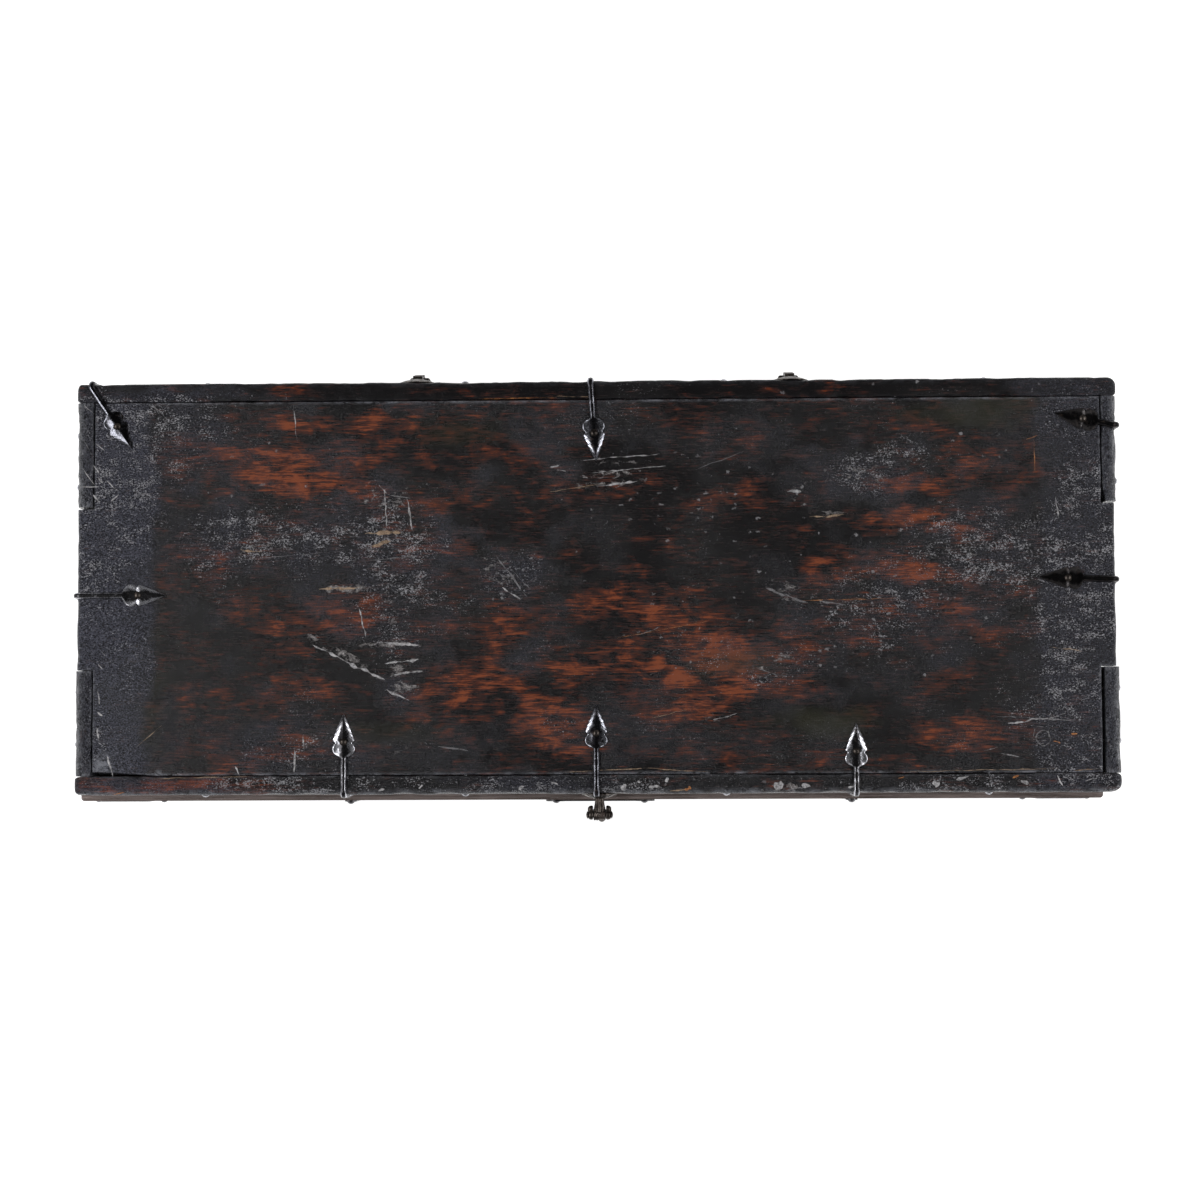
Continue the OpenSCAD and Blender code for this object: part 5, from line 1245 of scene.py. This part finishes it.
def blade_ring(part, z, half, groove, crest=0.9 * MM):
    """Ring of the blade at a height in its part's frame, front towards -Y: a flat back, bevelled sides, a
    low ridge and two engraved lines."""
    q = np.linspace(-1, 1, 29)
    front = 1 - np.clip((np.abs(q) - 0.8) / 0.2, 0, 1) ** 1.5 * 0.75
    y = -BLADE_T / 2 * (2 * front - 1) + crest * np.abs(q) + groove * bell(np.abs(q), 0.66, 0.06)
    back = np.array([-0.2 * MM, 0, -0.2 * MM]) + BLADE_T / 2
    return hasp_place(points_of(np.append(q, [1, 0, -1]) * half, np.append(y, back), z), part)


def lily_half(v):
    """Half width of the lily from its neck, v = 0, to its tip, v = 1: two round side lobes and a pointed
    drop."""
    side = 0.52 * math.sqrt(max(1 - ((v - 0.33) / 0.2) ** 2, 0)) + 0.3 * (abs(v - 0.33) < 0.2)
    drop = 0.62 * math.sqrt(max(1 - ((v - 0.68) / 0.34) ** 2, 0))
    return max(side, drop, 0.5 * (v < 0.6))


def cheek_rings(s):
    """Rings of the cheek on one side: the outline of the pin's boss and of the volute behind it, with
    softened rims. The outline is how far each ray from a point between three discs runs before it leaves
    the last one."""
    start, angle = np.array([1.6, -1.6]) * MM, circle(72)
    way = np.stack([np.cos(angle), np.sin(angle)], -1)
    reach = np.full(72, 3 * MM)
    for y, z, r in ((0, 0, 5.6), (6.4, 1, 4.6), (-0.8, -8, 3.6)):
        middle = np.array([y, z]) * MM - start
        along = way @ middle
        off = along**2 - middle @ middle + (r * MM) ** 2
        reach = np.maximum(reach, along + np.sqrt(np.maximum(off, 0)))
    rings = [start + way * (reach - pull * MM)[:, None] for _, pull in CHEEK]
    rings = [points_of(s * x * MM, *ring.T) for (x, _), ring in zip(CHEEK, rings)]
    return hasp_place(np.array(rings), "top")


def build_hasp():
    """The hasp's blade: cheeks with volutes on the pin, a waisted blade with a ridge, its bend, and the
    lily."""
    boss, line = 11 * MM, 0.35 * MM
    rings = []
    for z in np.linspace(-boss, 1 * MM - BLADE_TOP, 26):
        t = (-z - boss) / (BLADE_TOP - boss)
        half = BLADE_W / 2 * (1.12 - 0.24 * math.sin(math.pi * t**0.8) + (0.1 if t < 0.12 else 0))
        rings.append(blade_ring("top", z, half, line * (0.1 < t < 0.95)))
    for z in np.linspace(-0.5 * MM, -BLADE_LOW, 14):
        half = BLADE_W / 2 * (1 - 0.08 * math.sin(-z / BLADE_LOW * math.pi))
        rings.append(blade_ring("low", z, half, line))
    for v in np.append(np.linspace(0.03, 0.97, 42), 0.995):
        half = max(lily_half(v) * BLADE_W / 2, 0.6 * MM)
        rings.append(blade_ring("lily", -LILY_L * v, half, 0, 0.7 * MM))
    shells = Shells()
    shells.rings(rings)
    # Knob at the lily's tip
    knob, a = 4.5 * MM, np.linspace(0.12, math.pi - 0.12, 14)
    path = points_of(0, 0, -LILY_L * 0.93 + knob * np.cos(a))
    shells.rings(hasp_place(tube(path, knob * np.sin(a), 24), "lily"))
    for s in (-1, 1):
        shells.rings(cheek_rings(s))
    shells.piece("hasp", "hasp", ["hasp_blade"], DARK_IRON)


# The hasp's eye, in millimetres: how far from the rail its funnel starts and how far before the pin it
# ends, the funnel's radius and how much that grows, and the barrel's radius and half length
FUNNEL_OFF, FUNNEL_STOP, FUNNEL_R, FUNNEL_GROWS, BARREL_R, BARREL_END = 5.6, 3.6, 4.8, 2.3, 6.2, 7.1


def build_socket():
    """The hasp's eye on the lid: a fluted funnel that widens to a fluted barrel round the pin."""
    shells = Shells()
    start = box("lid_rail_front")[0][1] - FUNNEL_OFF * MM
    t, angle = np.linspace(0, 1, 12)[:, None], circle(72)
    r = (FUNNEL_R + FUNNEL_GROWS * t**1.5) * MM * (1 + 0.05 * np.cos(12 * angle))
    y = start + (PIN_AT[1] + FUNNEL_STOP * MM - start) * t
    shells.rings(points_of(PIN_AT[0] + np.cos(angle) * r, y, PIN_AT[2] + np.sin(angle) * r))
    x, angle = np.linspace(-BARREL_END, BARREL_END, 57)[:, None], circle(48)
    chamfer = 0.9 * np.maximum(0, np.abs(x) - BARREL_END + 0.8)
    r = (BARREL_R + 0.28 * np.cos(x / BARREL_END * math.pi * 5) - chamfer) * MM
    shells.rings(points_of(PIN_AT[0] + x * MM, PIN_AT[1] + np.cos(angle) * r, PIN_AT[2] + np.sin(angle) * r))
    shells.piece("hasp_socket", "lid", ["hasp_eye"], DARK_IRON)


# Light, floor and camera

# The floor's own light where it is seen, and the world's light, which is weaker in reflections
FLOOR_GLOW, WORLD_LIGHT, LESS_IN_GLOSS = 0.66, 0.4, 0.25
# Lamps: place, power, both sides; they lean towards the chest's middle
LAMPS = {"side_left": ((-2.1, -0.2, 2.4), 46), "side_right": ((2.2, 0.1, 2.2), 36)}
LAMP_SIDES, LAMPS_AIM_AT = (0.4, 2.4), 0.4


def lay_plane(name, material, size, height):
    """A level plane of the stage."""
    bpy.ops.mesh.primitive_plane_add(size=size, location=(0, 0, height))
    plane = bpy.context.object
    plane.name = name
    plane.data.materials.append(material)
    return plane


def set_floor():
    """A pale floor that is as white as the background where the camera sees it."""
    material, n, shader = principled("pale_floor", 0.1)
    camera, glossy, clear = n.add("LightPath", {}, ("Is Camera Ray", "Is Glossy Ray", "Is Transmission Ray"))
    seen = n.math("MAXIMUM", n.math("MAXIMUM", camera, glossy), clear)
    for label, value in (("Base Color", (0.8, 0.8, 0.8)), ("Roughness", 0.9), ("Emission Color", (1, 1, 1)),
                         ("Emission Strength", seen * FLOOR_GLOW)):
        n.put(value, shader.inputs[label])
    lay_plane("floor", material, size=30, height=0)


def set_world():
    """A soft light from all round, white where the camera sees it."""
    world = bpy.data.worlds.new("studio")
    bpy.context.scene.world = world
    world.use_nodes = True
    world.node_tree.nodes.clear()
    n = Nodes(world.node_tree)
    camera, glossy = n.add("LightPath", {}, ("Is Camera Ray", "Is Glossy Ray"))
    soft = n.add("Background", {"Color": (1, 1, 1), "Strength": WORLD_LIGHT - glossy * LESS_IN_GLOSS})
    white = n.add("Background", {"Color": (1, 1, 1), "Strength": 1.0})
    n.add("OutputWorld", {"Surface": n.add("MixShader", {0: camera, 1: soft, 2: white})}, None)


def set_lamps():
    """Soft lamps on both sides, and a dark ceiling that only shows in reflections, as above a studio
    table."""
    for name, (at, power) in LAMPS.items():
        data = bpy.data.lights.new(name, "AREA")
        data.shape, data.energy = "RECTANGLE", power
        data.size, data.size_y = LAMP_SIDES
        lamp = bpy.data.objects.new(name, data)
        bpy.context.scene.collection.objects.link(lamp)
        lamp.location, lamp.rotation_euler = at, (0, math.atan2(at[0], at[2] - LAMPS_AIM_AT), 0)
        lamp.visible_camera = False
    material, n, shader = principled("dark_cloth", 0.5)
    n.put((0.02, 0.02, 0.02), shader.inputs["Base Color"])
    ceiling = lay_plane("dark_ceiling", material, size=6, height=4.5)
    ceiling.visible_camera = ceiling.visible_diffuse = ceiling.visible_shadow = False
    ceiling.visible_transmission = False


def set_camera():
    """The camera at the photograph's place."""
    data = bpy.data.cameras.new("camera")
    data.lens, data.sensor_width, data.clip_end = CAMERA_LENS, 36, 100
    camera = bpy.data.objects.new("camera", data)
    bpy.context.scene.collection.objects.link(camera)
    camera.location = CAMERA_AT
    camera.rotation_euler = [math.radians(angle) for angle in CAMERA_TURN]
    bpy.context.scene.camera = camera
    bpy.context.scene.view_settings.view_transform = "Standard"


def dress_nodes():
    """Materials of the CAD nodes that stay."""
    materials = {"bottom_boards": raw_wood("raw_wood"), "bottom_bearers": raw_wood("raw_wood_cross", "Y"),
                 "lock_plate": PLATE_IRON, "lid_strap_nails": DARK_IRON, "lid_rail_nails": IRON,
                 **dict.fromkeys(("lock_bolt", "lock_backplate", "lock_spring"), LOCK_IRON), **PLINTH, **BODY}
    for name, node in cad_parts.items():
        iron = DARK_IRON if name.startswith(("hasp", "hinge")) else BODY_IRON
        node.data.materials.clear()
        node.data.materials.append(materials.get(name, iron))


set_floor()
set_world()
set_lamps()
set_camera()
dress_nodes()
build_plank()
build_scratches()
build_rails()
build_returns()
build_straps()
build_irons()
build_plinth()
build_rosettes()
build_bails()
build_hasp()
build_socket()
